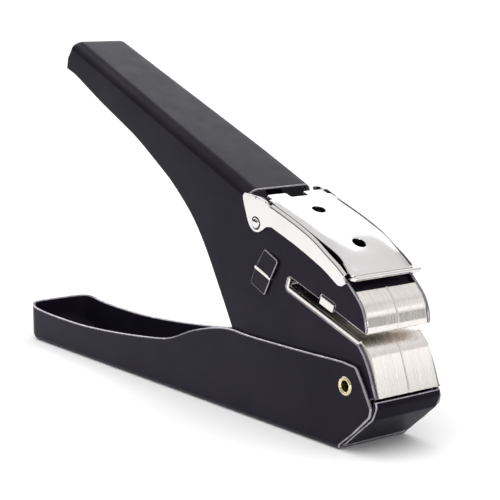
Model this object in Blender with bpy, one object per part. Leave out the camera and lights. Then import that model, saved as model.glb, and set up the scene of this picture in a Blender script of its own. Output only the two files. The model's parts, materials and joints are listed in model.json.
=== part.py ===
"""Heavy-duty single-hole hand punch: folded steel frame, pan-shaped lever and chip cover.

Metres, +Z up, +X towards the nose, symmetric about the XZ plane, standing on z = 0.
All lengths below are written in millimetres and scaled by MM when a mesh is made.
"""
import math

import bmesh
import bpy
import numpy as np
from mathutils import Vector
from mathutils.geometry import delaunay_2d_cdt

MM = 0.001
CENTRE_X = -2.45               # middle of the overall length; meshes are shifted so it lies at x = 0

# ---- driving dimensions (millimetres, degrees) -----------------------------------------
GAP = 0.3                      # space left between neighbouring pieces
FRAME_HALF = 14.6              # outer face of the frame's side plates
FRAME_T = 1.1                  # frame sheet
PAN_HALF = 16.1                # outer face of the lever's walls
PAN_T = 1.2                    # lever sheet
INNER_HALF = FRAME_HALF - FRAME_T - GAP     # half width of what sits between the side plates
LEVER_INNER_HALF = PAN_HALF - PAN_T         # inner face of the lever's walls

PIVOT = (97.3, 22.8)           # lever rivet
HANDLE_TILT = 22.5             # slope of the upper handle
THROAT_TILT = 18.6             # slope of the paper throat

HANDLE_TOP_FRONT = 34.2        # outer face of the handle's web above the rivet, across the slope
HANDLE_TOP_REAR = 33.2         # the same at the handle's rear end
HANDLE_BEND = 4.0              # outer bend radius between web and side plates
TAPER_START = -100.0           # along the slope from the rivet, where the handle begins to narrow
TAPER_END = -200.0
TAPER_HALF = 12.9              # half width of the handle at its rear end
WEB_END = -73.0                # along the slope, where the web ends and the head's flat plates begin
CLEAR_OF_HEAD = 70.0           # a web height that leaves nothing but side plates in the head

TABLE_Q = 69.0                 # steel table face of the throat (distance across the throat)
JAW_Q = 71.85                  # steel face of the upper jaw
SLOT_LOW_Q = 67.0              # edges of the slot in the side plates
SLOT_HIGH_Q = 72.7
SLOT_END_P = 43.6              # closed end of that slot (distance along the throat)
SHEET_T = 1.2                  # nickel-plated jaw sheet
DIE_T = 2.8                    # die plate
DIE_TAB_HALF = 3.5             # half length of its tabs along the throat

PUNCH_P = 66.1                 # punch axis along the throat
PUNCH_R = 3.175
PUNCH_TOP_Q = 68.6
COLLAR_Q = (42.0, 45.2)        # drive collar at the punch's lower end
COLLAR_R = 6.0
DRIVE_PIN_R = 2.5
DRIVE_PIN_Q = COLLAR_Q[0] - GAP - DRIVE_PIN_R

COVER_PIN = (48.7, 71.2)       # hinge of the chip cover
COVER_PIN_R = 1.6
COVER_HALF = 15.7              # outer face of the cover's flanges
COVER_T = 0.8                  # cover sheet
RUNNING = 0.06                 # radial clearance of turning fits

RIVET_R = 2.6                  # lever rivet tube
RIVET_RIM_R = 3.25
RIVET_BORE_R = 1.9


# ---- frames of reference ---------------------------------------------------------------
def slope_point(along, across):
    """Point given along / across the upper handle's slope, measured from the rivet."""
    tilt = math.radians(HANDLE_TILT)
    x = PIVOT[0] + along * math.cos(tilt) + across * math.sin(tilt)
    z = PIVOT[1] - along * math.sin(tilt) + across * math.cos(tilt)
    return x, z


def throat_point(p, q):
    """Point given along / across the paper throat, measured from the row origin."""
    tilt = math.radians(THROAT_TILT)
    x = p * math.cos(tilt) + q * math.sin(tilt)
    z = -p * math.sin(tilt) + q * math.cos(tilt)
    return x, z


PUNCH_DIR = Vector((math.sin(math.radians(THROAT_TILT)), 0.0, math.cos(math.radians(THROAT_TILT))))
ACROSS = Vector((0.0, 1.0, 0.0))
UP = Vector((0.0, 0.0, 1.0))


# ---- curves ----------------------------------------------------------------------------
def rounded(points, radii, steps=4, closed=True):
    """Polyline with each corner replaced by an arc; radii is one number or one per point."""
    count = len(points)
    if not isinstance(radii, (list, tuple)):
        radii = [radii] * count
    out = []
    for i, point in enumerate(points):
        here = Vector(point)
        end_point = not closed and i in (0, count - 1)
        if radii[i] <= 0.0 or end_point:
            out.append((here.x, here.y))
            continue
        before = Vector(points[i - 1]) - here
        after = Vector(points[(i + 1) % count]) - here
        half_angle = before.angle(after) / 2.0
        if half_angle > math.radians(86.0):
            out.append((here.x, here.y))
            continue
        reach = radii[i] / math.tan(half_angle)
        reach = min(reach, 0.48 * before.length, 0.48 * after.length)
        radius = reach * math.tan(half_angle)
        start = here + before.normalized() * reach
        finish = here + after.normalized() * reach
        bisector = (before.normalized() + after.normalized()).normalized()
        centre = here + bisector * (radius / math.sin(half_angle))
        first = start - centre
        sweep = math.pi - 2.0 * half_angle
        turn = 1.0 if first.x * (finish - centre).y - first.y * (finish - centre).x > 0 else -1.0
        for k in range(steps + 1):
            angle = turn * sweep * k / steps
            cos_a, sin_a = math.cos(angle), math.sin(angle)
            out.append((centre.x + first.x * cos_a - first.y * sin_a,
                        centre.y + first.x * sin_a + first.y * cos_a))
    return out


def smooth_curve(points, per_span=4):
    """Centripetal-free Catmull-Rom curve through the points."""
    pts = [Vector(p) for p in points]
    pts = [2 * pts[0] - pts[1]] + pts + [2 * pts[-1] - pts[-2]]
    out = []
    for i in range(1, len(pts) - 2):
        a, b, c, d = pts[i - 1], pts[i], pts[i + 1], pts[i + 2]
        for k in range(per_span):
            t = k / per_span
            value = 0.5 * (2 * b + (c - a) * t + (2 * a - 5 * b + 4 * c - d) * t * t
                           + (3 * b - a - 3 * c + d) * t * t * t)
            out.append((value.x, value.y))
    out.append((pts[-2].x, pts[-2].y))
    return out


def offset_path(path, distance):
    """Open polyline moved sideways; positive distance is to the left of the travel."""
    out = []
    for i, point in enumerate(path):
        before = Vector(path[max(i - 1, 0)])
        after = Vector(path[min(i + 1, len(path) - 1)])
        here = Vector(point)
        lead = (here - before) if i > 0 else (after - here)
        trail = (after - here) if i < len(path) - 1 else lead
        n_lead = Vector((-lead.y, lead.x)).normalized()
        n_trail = Vector((-trail.y, trail.x)).normalized()
        normal = (n_lead + n_trail).normalized()
        stretch = 1.0 / max(normal.dot(n_lead), 0.5)
        moved = here + normal * distance * stretch
        out.append((moved.x, moved.y))
    return out


# ---- meshes ----------------------------------------------------------------------------
def make_object(name, verts, faces):
    """Closed mesh object from millimetre vertices, with its faces turned outwards."""
    mesh = bpy.data.meshes.new(name)
    centre = Vector((CENTRE_X, 0.0, 0.0))
    mesh.from_pydata([(Vector(v) - centre) * MM for v in verts], [], faces)
    bm = bmesh.new()
    bm.from_mesh(mesh)
    bmesh.ops.remove_doubles(bm, verts=bm.verts, dist=0.002 * MM)
    bmesh.ops.recalc_face_normals(bm, faces=bm.faces)
    bm.to_mesh(mesh)
    bm.free()
    mesh.validate()
    obj = bpy.data.objects.new(name, mesh)
    bpy.context.scene.collection.objects.link(obj)
    return obj


def prism(name, outline, low_y, high_y):
    """Side-view outline (x, z) extruded across the width."""
    count = len(outline)
    verts = [(x, low_y, z) for x, z in outline] + [(x, high_y, z) for x, z in outline]
    faces = [list(range(count)), list(range(count, 2 * count))]
    for i in range(count):
        j = (i + 1) % count
        faces.append([i, j, count + j, count + i])
    return make_object(name, verts, faces)


def strip_outline(path, thickness):
    """Outline of a bent sheet whose left-hand face follows the path."""
    return list(path) + list(reversed(offset_path(path, -thickness)))


def loft(name, rings):
    """Closed body through rings of equal length, with flat ends."""
    count = len(rings[0])
    verts = [v for ring in rings for v in ring]
    faces = [list(range(count)), [len(verts) - count + i for i in range(count)]]
    for r in range(len(rings) - 1):
        for i in range(count):
            j = (i + 1) % count
            a, b = r * count, (r + 1) * count
            faces.append([a + i, a + j, b + j, b + i])
    return make_object(name, verts, faces)


def axis_frame(direction):
    """Two unit vectors across a direction."""
    direction = Vector(direction).normalized()
    helper = ACROSS if abs(direction.y) < 0.9 else UP
    first = direction.cross(helper).normalized()
    return first, direction.cross(first).normalized()


def revolve(name, base, direction, profile, segments=32):
    """Body turned about an axis; profile lists (radius, distance) from one end to the other.

    A profile that starts and ends on the axis gives a solid; any other one closes on itself.
    """
    base = Vector(base)
    direction = Vector(direction).normalized()
    first, second = axis_frame(direction)
    verts, index = [], []
    for radius, distance in profile:
        ring = []
        steps = 1 if radius < 1e-6 else segments
        for k in range(steps):
            angle = 2.0 * math.pi * k / segments
            offset = first * (radius * math.cos(angle)) + second * (radius * math.sin(angle))
            ring.append(len(verts))
            verts.append(base + direction * distance + offset)
        index.append(ring)
    solid = len(index[0]) == 1 and len(index[-1]) == 1
    pairs = list(zip(index, index[1:]))
    if not solid:
        pairs.append((index[-1], index[0]))
    faces = []
    for ring_a, ring_b in pairs:
        for k in range(segments):
            j = (k + 1) % segments
            corners = [ring_a[k % len(ring_a)], ring_a[j % len(ring_a)],
                       ring_b[j % len(ring_b)], ring_b[k % len(ring_b)]]
            unique = list(dict.fromkeys(corners))
            if len(unique) > 2:
                faces.append(unique)
    return make_object(name, verts, faces)


def cylinder(name, base, direction, radius, length, segments=32):
    """Plain round bar."""
    return revolve(name, base, direction, [(0, 0), (radius, 0), (radius, length), (0, length)],
                   segments)


def box(name, low, high):
    """Axis-aligned block."""
    outline = [(low[0], low[2]), (high[0], low[2]), (high[0], high[2]), (low[0], high[2])]
    return prism(name, outline, low[1], high[1])


def triangulated_plate(name, outline, inner_y, outer_y, bulge, spacing):
    """Flat plate cut into small triangles, so that bulge(x, z) can push it sideways."""
    low = np.min(outline, axis=0)
    high = np.max(outline, axis=0)
    points = [Vector(p) for p in outline]
    edges = [(i, (i + 1) % len(outline)) for i in range(len(outline))]
    for x in np.arange(low[0] + spacing, high[0], spacing):
        for z in np.arange(low[1] + spacing, high[1], spacing):
            if inside(outline, x, z) and distance_to(outline, x, z) > 0.45 * spacing:
                points.append(Vector((x, z)))
    flat, _, faces, _, _, _ = delaunay_2d_cdt(points, edges, [], 1, 1e-5)
    count = len(flat)
    verts = [(p.x, inner_y + bulge(p.x, p.y), p.y) for p in flat]
    verts += [(p.x, outer_y + bulge(p.x, p.y), p.y) for p in flat]
    sides = {}
    for face in faces:
        for i in range(len(face)):
            a, b = face[i], face[(i + 1) % len(face)]
            sides[(a, b)] = sides.get((a, b), 0) + 1
    walls = [[a, b, count + b, count + a] for a, b in sides if (b, a) not in sides]
    caps = [list(f) for f in faces] + [[count + i for i in reversed(f)] for f in faces]
    return make_object(name, verts, caps + walls)


def inside(outline, x, z):
    """Whether a point lies within a closed outline."""
    hit = False
    for i, (x0, z0) in enumerate(outline):
        x1, z1 = outline[i - 1]
        if (z0 > z) != (z1 > z) and x < (x1 - x0) * (z - z0) / (z1 - z0) + x0:
            hit = not hit
    return hit


def distance_to(outline, x, z):
    """Shortest distance from a point to a closed outline."""
    here = Vector((x, z))
    best = 1e9
    for i, point in enumerate(outline):
        a, b = Vector(outline[i - 1]), Vector(point)
        span = b - a
        t = max(0.0, min(1.0, (here - a).dot(span) / max(span.length_squared, 1e-12)))
        best = min(best, (here - a - span * t).length)
    return best


def combine(target, tool, operation):
    """Boolean of two bodies, baked into the first; the second is removed."""
    modifier = target.modifiers.new("combine", "BOOLEAN")
    modifier.operation = operation
    modifier.solver = "EXACT"
    modifier.object = tool
    bpy.context.view_layer.update()
    depsgraph = bpy.context.evaluated_depsgraph_get()
    baked = bpy.data.meshes.new_from_object(target.evaluated_get(depsgraph))
    target.modifiers.clear()
    target.data = baked
    clean(target)
    bpy.data.objects.remove(tool, do_unlink=True)
    return target


def clean(obj):
    """Merges the near-duplicate points a Boolean can leave and dissolves flat leftovers."""
    bm = bmesh.new()
    bm.from_mesh(obj.data)
    bmesh.ops.remove_doubles(bm, verts=bm.verts, dist=0.004 * MM)
    bmesh.ops.dissolve_degenerate(bm, edges=bm.edges, dist=0.004 * MM)
    bm.to_mesh(obj.data)
    bm.free()


def cut_across(target, centre, radius, segments=32):
    """Round hole through the whole width."""
    tool = cylinder("tool", (centre[0], -30.0, centre[1]), ACROSS, radius, 60.0, segments)
    return combine(target, tool, "DIFFERENCE")


def cut_along_punch(target, radius, low_q=30.0, high_q=95.0, segments=32):
    """Round hole on the punch axis."""
    x, z = throat_point(PUNCH_P, low_q)
    tool = cylinder("tool", (x, 0.0, z), PUNCH_DIR, radius, high_q - low_q, segments)
    return combine(target, tool, "DIFFERENCE")


# ---- main frame ------------------------------------------------------------------------
UNDERSIDE = [(-82.3, 119.0), (-75.9, 116.8), (-66.6, 112.2), (-57.5, 107.6), (-48.4, 103.4),
             (-39.6, 99.4), (-31.0, 95.4), (-22.5, 90.7), (-14.2, 85.7), (-6.1, 80.7),
             (1.9, 74.5), (9.5, 67.5), (17.0, 57.6), (24.3, 45.6), (31.6, 33.1), (36.5, 24.0)]
LOWER_EDGE = [(38.6, 20.4), (86.0, 9.2), (97.3, 8.6), (103.0, 11.6), (107.0, 16.8),
              (107.6, 20.2), (110.7, 20.6)]
LOWER_NOSE = [(110.6, 21.4), (109.4, 24.3), (107.8, 27.5), (106.4, 30.8), (104.6, 33.6)]
UPPER_NOSE = [(104.9, 41.2), (105.2, 43.0), (104.0, 46.8), (102.2, 50.6), (99.0, 54.3),
              (96.8, 56.6)]
HEAD_TOP = [(94.6, 58.2), (85.0, 64.8), (75.2, 69.5), (61.6, 74.4), (57.4, 75.6)]
HINGE_CREST_R = 9.0            # the side plates' top edge round the cover hinge
HANDLE_FRONT = [(42.6, 81.6), (41.4, 84.0), (43.0, 89.5)]
HANDLE_REAR = [(-77.5, 140.0), (-75.9, 129.6), (-78.6, 126.6), (-81.3, 123.4)]


def side_outline():
    """Whole side view of the frame, throat slot included."""
    slot = [throat_point(84.6, SLOT_LOW_Q), throat_point(SLOT_END_P, SLOT_LOW_Q),
            throat_point(SLOT_END_P, SLOT_HIGH_Q), throat_point(85.2, SLOT_HIGH_Q)]
    slot = rounded(slot, 1.6, steps=3, closed=False)
    crest = []
    for degrees in (48, 60, 72, 84, 96, 108, 119):
        angle = math.radians(degrees)
        crest.append((COVER_PIN[0] + HINGE_CREST_R * math.cos(angle),
                      COVER_PIN[1] + HINGE_CREST_R * math.sin(angle)))
    return (smooth_curve(UNDERSIDE, 2) + LOWER_EDGE + LOWER_NOSE + slot + UPPER_NOSE
            + HEAD_TOP + crest + HANDLE_FRONT + HANDLE_REAR)


def handle_ring(along, half_width, top, steps=5):
    """U-shaped cross-section of the folded channel at one place along its slope."""
    depth = 175.0
    outer_r, inner_r = HANDLE_BEND, HANDLE_BEND - FRAME_T
    inner_half = half_width - FRAME_T
    section = [(-half_width, top - depth)]
    for k in range(steps + 1):
        angle = math.pi - 0.5 * math.pi * k / steps
        section.append((-half_width + outer_r + outer_r * math.cos(angle),
                        top - outer_r + outer_r * math.sin(angle)))
    section += [(-y, v) for y, v in reversed(section)]
    lining = [(inner_half, top - depth)]
    for k in range(steps + 1):
        angle = 0.5 * math.pi * k / steps
        lining.append((inner_half - inner_r + inner_r * math.cos(angle),
                       top - FRAME_T - inner_r + inner_r * math.sin(angle)))
    lining += [(-y, v) for y, v in reversed(lining)]
    ring = []
    for y, v in section + lining:
        x, z = slope_point(along, v)
        ring.append((x, y, z))
    return ring


def louver(side):
    """Two stepped tabs pressed outwards behind the throat."""
    tabs = []
    face = side * FRAME_HALF
    for top_left, top_right, low_right, low_left in (
            ((52.4, 62.4), (60.8, 59.3), (56.8, 52.3), (47.6, 55.8)),
            ((47.3, 55.8), (56.4, 52.2), (53.1, 46.0), (43.9, 49.3))):
        ring_in = [(x, face - side * 0.5, z) for x, z in (top_left, top_right, low_right, low_left)]
        heights = (0.9, 1.3, 1.3, 0.15)
        ring_out = []
        for (x, _, z), height in zip(ring_in, heights):
            ring_out.append((x, face + side * height, z))
        tabs.append(loft("tab", [ring_in, ring_out]))
    return tabs


def build_main_frame():
    """Folded channel: handle web, both side plates, throat slot and pivot holes."""
    rings = [handle_ring(TAPER_END - 8.0, TAPER_HALF - 0.1, HANDLE_TOP_REAR),
             handle_ring(TAPER_START, FRAME_HALF, HANDLE_TOP_FRONT),
             handle_ring(WEB_END - 0.2, FRAME_HALF, HANDLE_TOP_FRONT),
             handle_ring(WEB_END, FRAME_HALF, CLEAR_OF_HEAD),
             handle_ring(60.0, FRAME_HALF, CLEAR_OF_HEAD)]
    frame = loft("main_frame", rings)
    frame = combine(frame, prism("tool", side_outline(), -30.0, 30.0), "INTERSECT")
    frame = cut_across(frame, PIVOT, RIVET_R + RUNNING, 40)
    frame = cut_across(frame, COVER_PIN, COVER_PIN_R + 0.03, 24)
    reach = DIE_TAB_HALF + GAP
    low, high = JAW_Q - 3.0, JAW_Q + DIE_T + GAP
    notch = rounded([throat_point(PUNCH_P - reach, low), throat_point(PUNCH_P + reach, low),
                     throat_point(PUNCH_P + reach, high), throat_point(PUNCH_P - reach, high)],
                    [0.0, 0.0, 0.5, 0.5], steps=2)
    frame = combine(frame, prism("tool", notch, -30.0, 30.0), "DIFFERENCE")
    for side in (-1, 1):
        for tab in louver(side):
            frame = combine(frame, tab, "UNION")
    return frame


# ---- throat and head -------------------------------------------------------------------
def table_path():
    """Outer face of the lower jaw sheet, from the closed end of the throat to the chin."""
    corners = [throat_point(45.0, 71.6), throat_point(45.0, TABLE_Q), throat_point(83.0, TABLE_Q),
               (106.9, 35.4), (109.0, 30.6), (111.0, 20.9)]
    return rounded(corners, [0.0, 1.6, 6.0, 6.0, 10.0, 0.0], steps=4, closed=False)


def build_throat_liner():
    """Lower jaw sheet with side flanges turned down between the side plates."""
    path = table_path()
    liner = prism("throat_liner", strip_outline(path, SHEET_T), -INNER_HALF, INNER_HALF)
    flange = offset_path(path, -0.4)[2:-1] + list(reversed(offset_path(path, -4.4)[5:-1]))
    for side in (-1, 1):
        faces = sorted((side * (INNER_HALF - 0.05), side * (INNER_HALF - SHEET_T)))
        liner = combine(liner, prism("tool", flange, faces[0], faces[1]), "UNION")
    return cut_along_punch(liner, PUNCH_R + 0.1)


def nose_path():
    """Outer face of the upper nose sheet, from the chip mouth round to the jaw face."""
    corners = [throat_point(75.6, JAW_Q), throat_point(85.2, JAW_Q), (104.0, 45.4),
               (102.4, 48.8), (100.4, 51.6), (98.0, 54.2)]
    return rounded(corners, [0.0, 1.8, 6.0, 8.0, 8.0, 0.0], steps=4, closed=False)


def build_upper_nose():
    """Curved sheet that closes the head's front and turns back as the upper jaw."""
    outline = list(nose_path()) + list(reversed(offset_path(nose_path(), SHEET_T)))
    return prism("upper_nose_plate", outline, -INNER_HALF, INNER_HALF)


def build_die_plate():
    """Die plate between the side plates, with a tab through a notch on each side."""
    low, high = JAW_Q, JAW_Q + DIE_T
    body = [throat_point(57.0, low), throat_point(75.2, low), throat_point(75.2, high),
            throat_point(57.0, high)]
    tab = [throat_point(PUNCH_P - DIE_TAB_HALF, low), throat_point(PUNCH_P + DIE_TAB_HALF, low),
           throat_point(PUNCH_P + DIE_TAB_HALF, high), throat_point(PUNCH_P - DIE_TAB_HALF, high)]
    plate = prism("die_plate", body, -INNER_HALF, INNER_HALF)
    plate = combine(plate, prism("tool", tab, -FRAME_HALF - 0.5, FRAME_HALF + 0.5), "UNION")
    return cut_along_punch(plate, 5.0)


def build_die_bush():
    """Hardened ring set in the die plate; its bore is the cutting edge."""
    x, z = throat_point(PUNCH_P, JAW_Q - 0.1)
    height = 4.6
    bore = PUNCH_R + 0.05
    profile = [(bore, 0.0), (4.7, 0.0), (4.7, 3.1), (6.2, 3.1), (6.2, height), (bore + 0.6, height),
               (bore + 0.4, 2.0), (bore, 1.4)]
    return revolve("die_bush", (x, 0.0, z), PUNCH_DIR, profile, 32)


def build_chip_chute():
    """Folded sheet that closes the chip chamber behind the die plate."""
    path = rounded([throat_point(55.6, 72.6), (66.0, 57.6), (58.6, 62.6), (55.4, 74.0)],
                   [0.0, 4.0, 4.0, 0.0], steps=3, closed=False)
    return prism("chip_chute", strip_outline(path, 0.8), -INNER_HALF, INNER_HALF)


# ---- punch unit ------------------------------------------------------------------------
def build_punch_guide():
    """Block below the table that keeps the punch straight."""
    outline = rounded([throat_point(58.0, 58.2), throat_point(74.2, 58.2),
                       throat_point(74.2, 66.6), throat_point(58.0, 66.6)], 1.0, steps=2)
    half = INNER_HALF - SHEET_T - GAP
    guide = prism("punch_guide", outline, -half, half)
    return cut_along_punch(guide, PUNCH_R + RUNNING, segments=40)


def build_punch():
    """Round cutting punch with a hollow-ground end."""
    x, z = throat_point(PUNCH_P, COLLAR_Q[0] + 0.4)
    length = PUNCH_TOP_Q - COLLAR_Q[0] - 0.4
    profile = [(0, 0), (2.4, 0), (2.4, 3.1), (PUNCH_R, 3.8), (PUNCH_R, length), (0.0, length - 0.7)]
    return revolve("punch", (x, 0.0, z), PUNCH_DIR, profile, 40)


def build_punch_collar():
    """Drive collar pressed on the punch's lower end."""
    x, z = throat_point(PUNCH_P, COLLAR_Q[0])
    height = COLLAR_Q[1] - COLLAR_Q[0]
    profile = [(0, 0), (COLLAR_R - 0.6, 0), (COLLAR_R, 0.6), (COLLAR_R, height), (2.46, height),
               (2.46, 0.34), (0, 0.34)]
    return revolve("punch_collar", (x, 0.0, z), PUNCH_DIR, profile, 32)


def build_spring_seat():
    """Washer between the collar and the spring."""
    x, z = throat_point(PUNCH_P, COLLAR_Q[1] + GAP)
    profile = [(PUNCH_R + 0.2, 0), (5.7, 0), (5.7, 0.8), (PUNCH_R + 0.2, 0.8)]
    return revolve("spring_seat", (x, 0.0, z), PUNCH_DIR, profile, 28)


def build_return_spring():
    """Compression spring round the punch."""
    wire_r, coil_r, turns, per_turn, around = 0.6, 4.7, 4.5, 20, 8
    start = COLLAR_Q[1] + GAP + 0.8 + GAP + wire_r
    finish = 58.2 - GAP - wire_r
    x, z = throat_point(PUNCH_P, start)
    base = Vector((x, 0.0, z))
    first, second = axis_frame(PUNCH_DIR)
    rings = []
    total = int(turns * per_turn)
    for k in range(total + 1):
        angle = 2.0 * math.pi * k / per_turn
        radial = first * math.cos(angle) + second * math.sin(angle)
        centre = base + radial * coil_r + PUNCH_DIR * ((finish - start) * k / total)
        ring = []
        for j in range(around):
            turn = 2.0 * math.pi * j / around
            ring.append(centre + (radial * math.cos(turn) + PUNCH_DIR * math.sin(turn)) * wire_r)
        rings.append(ring)
    return loft("return_spring", rings)


def build_pivot_sleeve():
    """Spacer tube that keeps the side plates apart round the rivet."""
    base = (PIVOT[0], -INNER_HALF, PIVOT[1])
    bore = RIVET_R + RUNNING
    profile = [(bore, 0), (4.6, 0), (4.6, 2 * INNER_HALF), (bore, 2 * INNER_HALF)]
    return revolve("pivot_sleeve", base, ACROSS, profile, 40)


# ---- lever (pan-shaped lower handle) ---------------------------------------------------
RIM = [(-116.0, 15.6), (-112.6, 15.5), (-108.4, 14.6), (-103.0, 14.0), (-93.3, 13.6),
       (-73.7, 13.5), (-56.0, 14.3), (-34.5, 16.1), (-12.3, 18.7),
       (-3.5, 20.6), (3.9, 23.5), (11.4, 26.3), (24.3, 29.5), (34.1, 30.7), (45.3, 30.2),
       (73.3, 30.4), (94.1, 30.8), (102.1, 30.3), (112.0, 29.6)]
LEVER_FRONT = [(93.4, -5.0), (93.6, 0.0), (94.8, 2.3), (102.0, 7.8), (109.2, 14.4),
               (109.8, 17.4), (105.6, 24.9), (102.1, 30.1), (100.0, 40.0), (-130.0, 40.0),
               (-130.0, -5.0)]
LEVER_REAR = RIM[0][0]
HEEL_CORNER = 8.5              # radius of the rear corners, seen from above and from the side
FLOOR_BEND = 2.0               # outer bend between the lever's floor and walls
FLOOR_RIVETS = [(66.4, -5.5), (66.4, 5.5), (88.6, -6.5), (88.6, 6.5)]
FLOOR_RIVET_R = 1.5
FLOOR_TOP = PAN_T + GAP        # underside of what is riveted to the floor


def rim_height(x):
    """Height of the lever's rim at a place along it."""
    curve = smooth_curve(RIM, 4)
    return float(np.interp(x, [p[0] for p in curve], [p[1] for p in curve]))


def tub(name, inset, front, top):
    """Long tray body with a rounded heel and rounded rear corners, inset on all faces."""
    rear = LEVER_REAR + inset
    half = PAN_HALF - inset
    corner, bend = HEEL_CORNER - inset, FLOOR_BEND - inset
    arc = [corner * (1.0 - math.cos(0.5 * math.pi * k / 7)) for k in range(8)]
    stations = [rear + a for a in arc]
    stations += [x for x in np.arange(-102.0, 40.0, 6.0)] + [60.0, 80.0, 94.0, 102.0, front]
    rings = []
    for x in stations:
        reach = max(0.0, corner - (x - rear))
        half_here = half - corner + math.sqrt(max(corner * corner - reach * reach, 0.0))
        floor = inset + corner - math.sqrt(max(corner * corner - reach * reach, 0.0))
        ring = [(x, -half_here, top(x))]
        for k in range(5):
            angle = math.pi + 0.5 * math.pi * k / 4
            ring.append((x, -half_here + bend + bend * math.cos(angle),
                         floor + bend + bend * math.sin(angle)))
        ring += [(x, -y, z) for _, y, z in reversed(ring)]
        rings.append(ring)
    return loft(name, rings)


def build_lever_pan():
    """Pressed tray: flat floor, side walls, rounded heel, open nose."""
    pan = tub("lever_pan", 0.0, 112.0, rim_height)
    pan = combine(pan, tub("tool", PAN_T, 130.0, lambda x: 45.0), "DIFFERENCE")
    pan = combine(pan, prism("tool", LEVER_FRONT, -30.0, 30.0), "INTERSECT")
    pan = cut_across(pan, PIVOT, RIVET_R + 0.15, 32)
    for x, y in FLOOR_RIVETS:
        tool = cylinder("tool", (x, y, -5.0), UP, FLOOR_RIVET_R + 0.15, 12.0, 20)
        pan = combine(pan, tool, "DIFFERENCE")
    return pan


def build_nose_guard():
    """Folded plate that closes the lever's nose below the jaw."""
    path = rounded([(84.0, FLOOR_TOP), (95.2, FLOOR_TOP), (109.3, 13.3), (111.2, 17.6), (110.9, 19.8)],
                   [0.0, 3.0, 2.0, 2.0, 0.0], steps=3, closed=False)
    outline = list(path) + list(reversed(offset_path(path, 1.4)))
    guard = prism("nose_guard", outline, -FRAME_HALF, FRAME_HALF)
    for x, y in FLOOR_RIVETS[2:]:
        tool = cylinder("tool", (x, y, -5.0), UP, FLOOR_RIVET_R + 0.15, 12.0, 20)
        guard = combine(guard, tool, "DIFFERENCE")
    return guard


def build_drive_bracket():
    """Folded bracket on the lever's floor that carries the drive pin."""
    pin_x, pin_z = throat_point(PUNCH_P, DRIVE_PIN_Q)
    base_top = FLOOR_TOP + 1.5
    half = 10.6
    bracket = box("drive_bracket", (62.8, -half, FLOOR_TOP), (82.4, half, base_top))
    cheek = rounded([(70.6, FLOOR_TOP), (82.4, FLOOR_TOP), (78.6, pin_z + 4.0), (71.6, pin_z + 4.0)],
                    [0.0, 0.0, 3.2, 3.2], steps=3)
    for side in (-1, 1):
        faces = sorted((side * half, side * (half - 1.5)))
        bracket = combine(bracket, prism("tool", cheek, faces[0], faces[1]), "UNION")
    bracket = cut_across(bracket, (pin_x, pin_z), DRIVE_PIN_R - 0.5 + 0.1, 28)
    for x, y in FLOOR_RIVETS[:2]:
        tool = cylinder("tool", (x, y, -5.0), UP, FLOOR_RIVET_R + 0.15, 12.0, 20)
        bracket = combine(bracket, tool, "DIFFERENCE")
    return bracket


def build_drive_pin():
    """Shouldered pin that lifts the punch collar."""
    pin_x, pin_z = throat_point(PUNCH_P, DRIVE_PIN_Q)
    inner = 9.1 - GAP
    end_r = DRIVE_PIN_R - 0.5
    profile = [(0, 0), (end_r, 0), (end_r, 11.9 - inner), (DRIVE_PIN_R, 11.9 - inner),
               (DRIVE_PIN_R, 11.9 + inner), (end_r, 11.9 + inner), (end_r, 23.8), (0, 23.8)]
    return revolve("drive_pin", (pin_x, -11.9, pin_z), ACROSS, profile, 28)


def build_floor_rivets():
    """Four rivets holding the bracket and the nose guard to the floor."""
    rivets = []
    for number, (x, y) in enumerate(FLOOR_RIVETS, 1):
        base_top = (FLOOR_TOP + 1.5 if x < 80.0 else FLOOR_TOP + 1.4) + 0.1
        profile = [(0, 0.02), (FLOOR_RIVET_R, 0.02), (FLOOR_RIVET_R, base_top), (2.6, base_top),
                   (2.3, base_top + 0.7), (1.3, base_top + 1.1), (0, base_top + 1.2)]
        rivets.append(revolve(f"floor_rivet_{number}", (x, y, 0.0), UP, profile, 20))
    return rivets


def build_pivot_rivet():
    """Hollow rivet with rolled rims outside the lever's walls."""
    reach = PAN_HALF + 0.1
    rim = 0.45
    steps = [math.pi * k / 5 for k in range(6)]
    mid_r = 0.5 * (RIVET_RIM_R + RIVET_BORE_R)
    half_r = 0.5 * (RIVET_RIM_R - RIVET_BORE_R)
    far_rim = [(mid_r + half_r * math.cos(a), reach + rim * math.sin(a)) for a in steps]
    near_rim = [(radius, -distance) for radius, distance in reversed(far_rim)]
    profile = near_rim + [(RIVET_R, -reach), (RIVET_R, reach)] + far_rim
    return revolve("pivot_rivet", (PIVOT[0], 0.0, PIVOT[1]), ACROSS, profile, 40)


# ---- chip cover ------------------------------------------------------------------------
COVER_LINE = [(50.6, 81.0), (55.0, 79.6), (62.4, 77.1), (69.5, 74.6), (76.1, 72.0), (81.5, 69.7),
              (86.5, 67.2), (91.0, 64.5), (94.4, 61.9), (96.6, 60.0)]
LIP_LINE = [(98.0, 59.2), (99.2, 59.3), (100.2, 59.9)]
LIP_UNDERSIDE = [(100.7, 59.0), (99.8, 58.0), (97.6, 57.9)]
FLANGE_LOW = [(41.0, 80.0), (41.3, 78.6), (43.6, 71.6), (45.0, 69.4), (47.4, 68.0), (49.8, 68.0),
              (52.2, 69.1), (54.4, 70.5), (57.3, 70.7), (69.0, 66.7), (75.5, 64.2), (80.5, 62.1),
              (84.2, 60.5), (87.2, 58.9), (90.6, 56.8), (92.4, 55.8), (94.4, 55.8), (96.4, 57.0)]
COVER_HOLES = [64.2, 85.4]      # round windows in the cover plate, along the length
STRAP_DROP = 1.1               # the strap that joins the flanges, below the plate's top face
SHOULDER_DROP = 0.4            # the flanges' shoulders, below the plate's top face


def cover_line(offset):
    """Side-view line parallel to the cover plate's top face."""
    return offset_path(smooth_curve(COVER_LINE, 3), offset)


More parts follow.
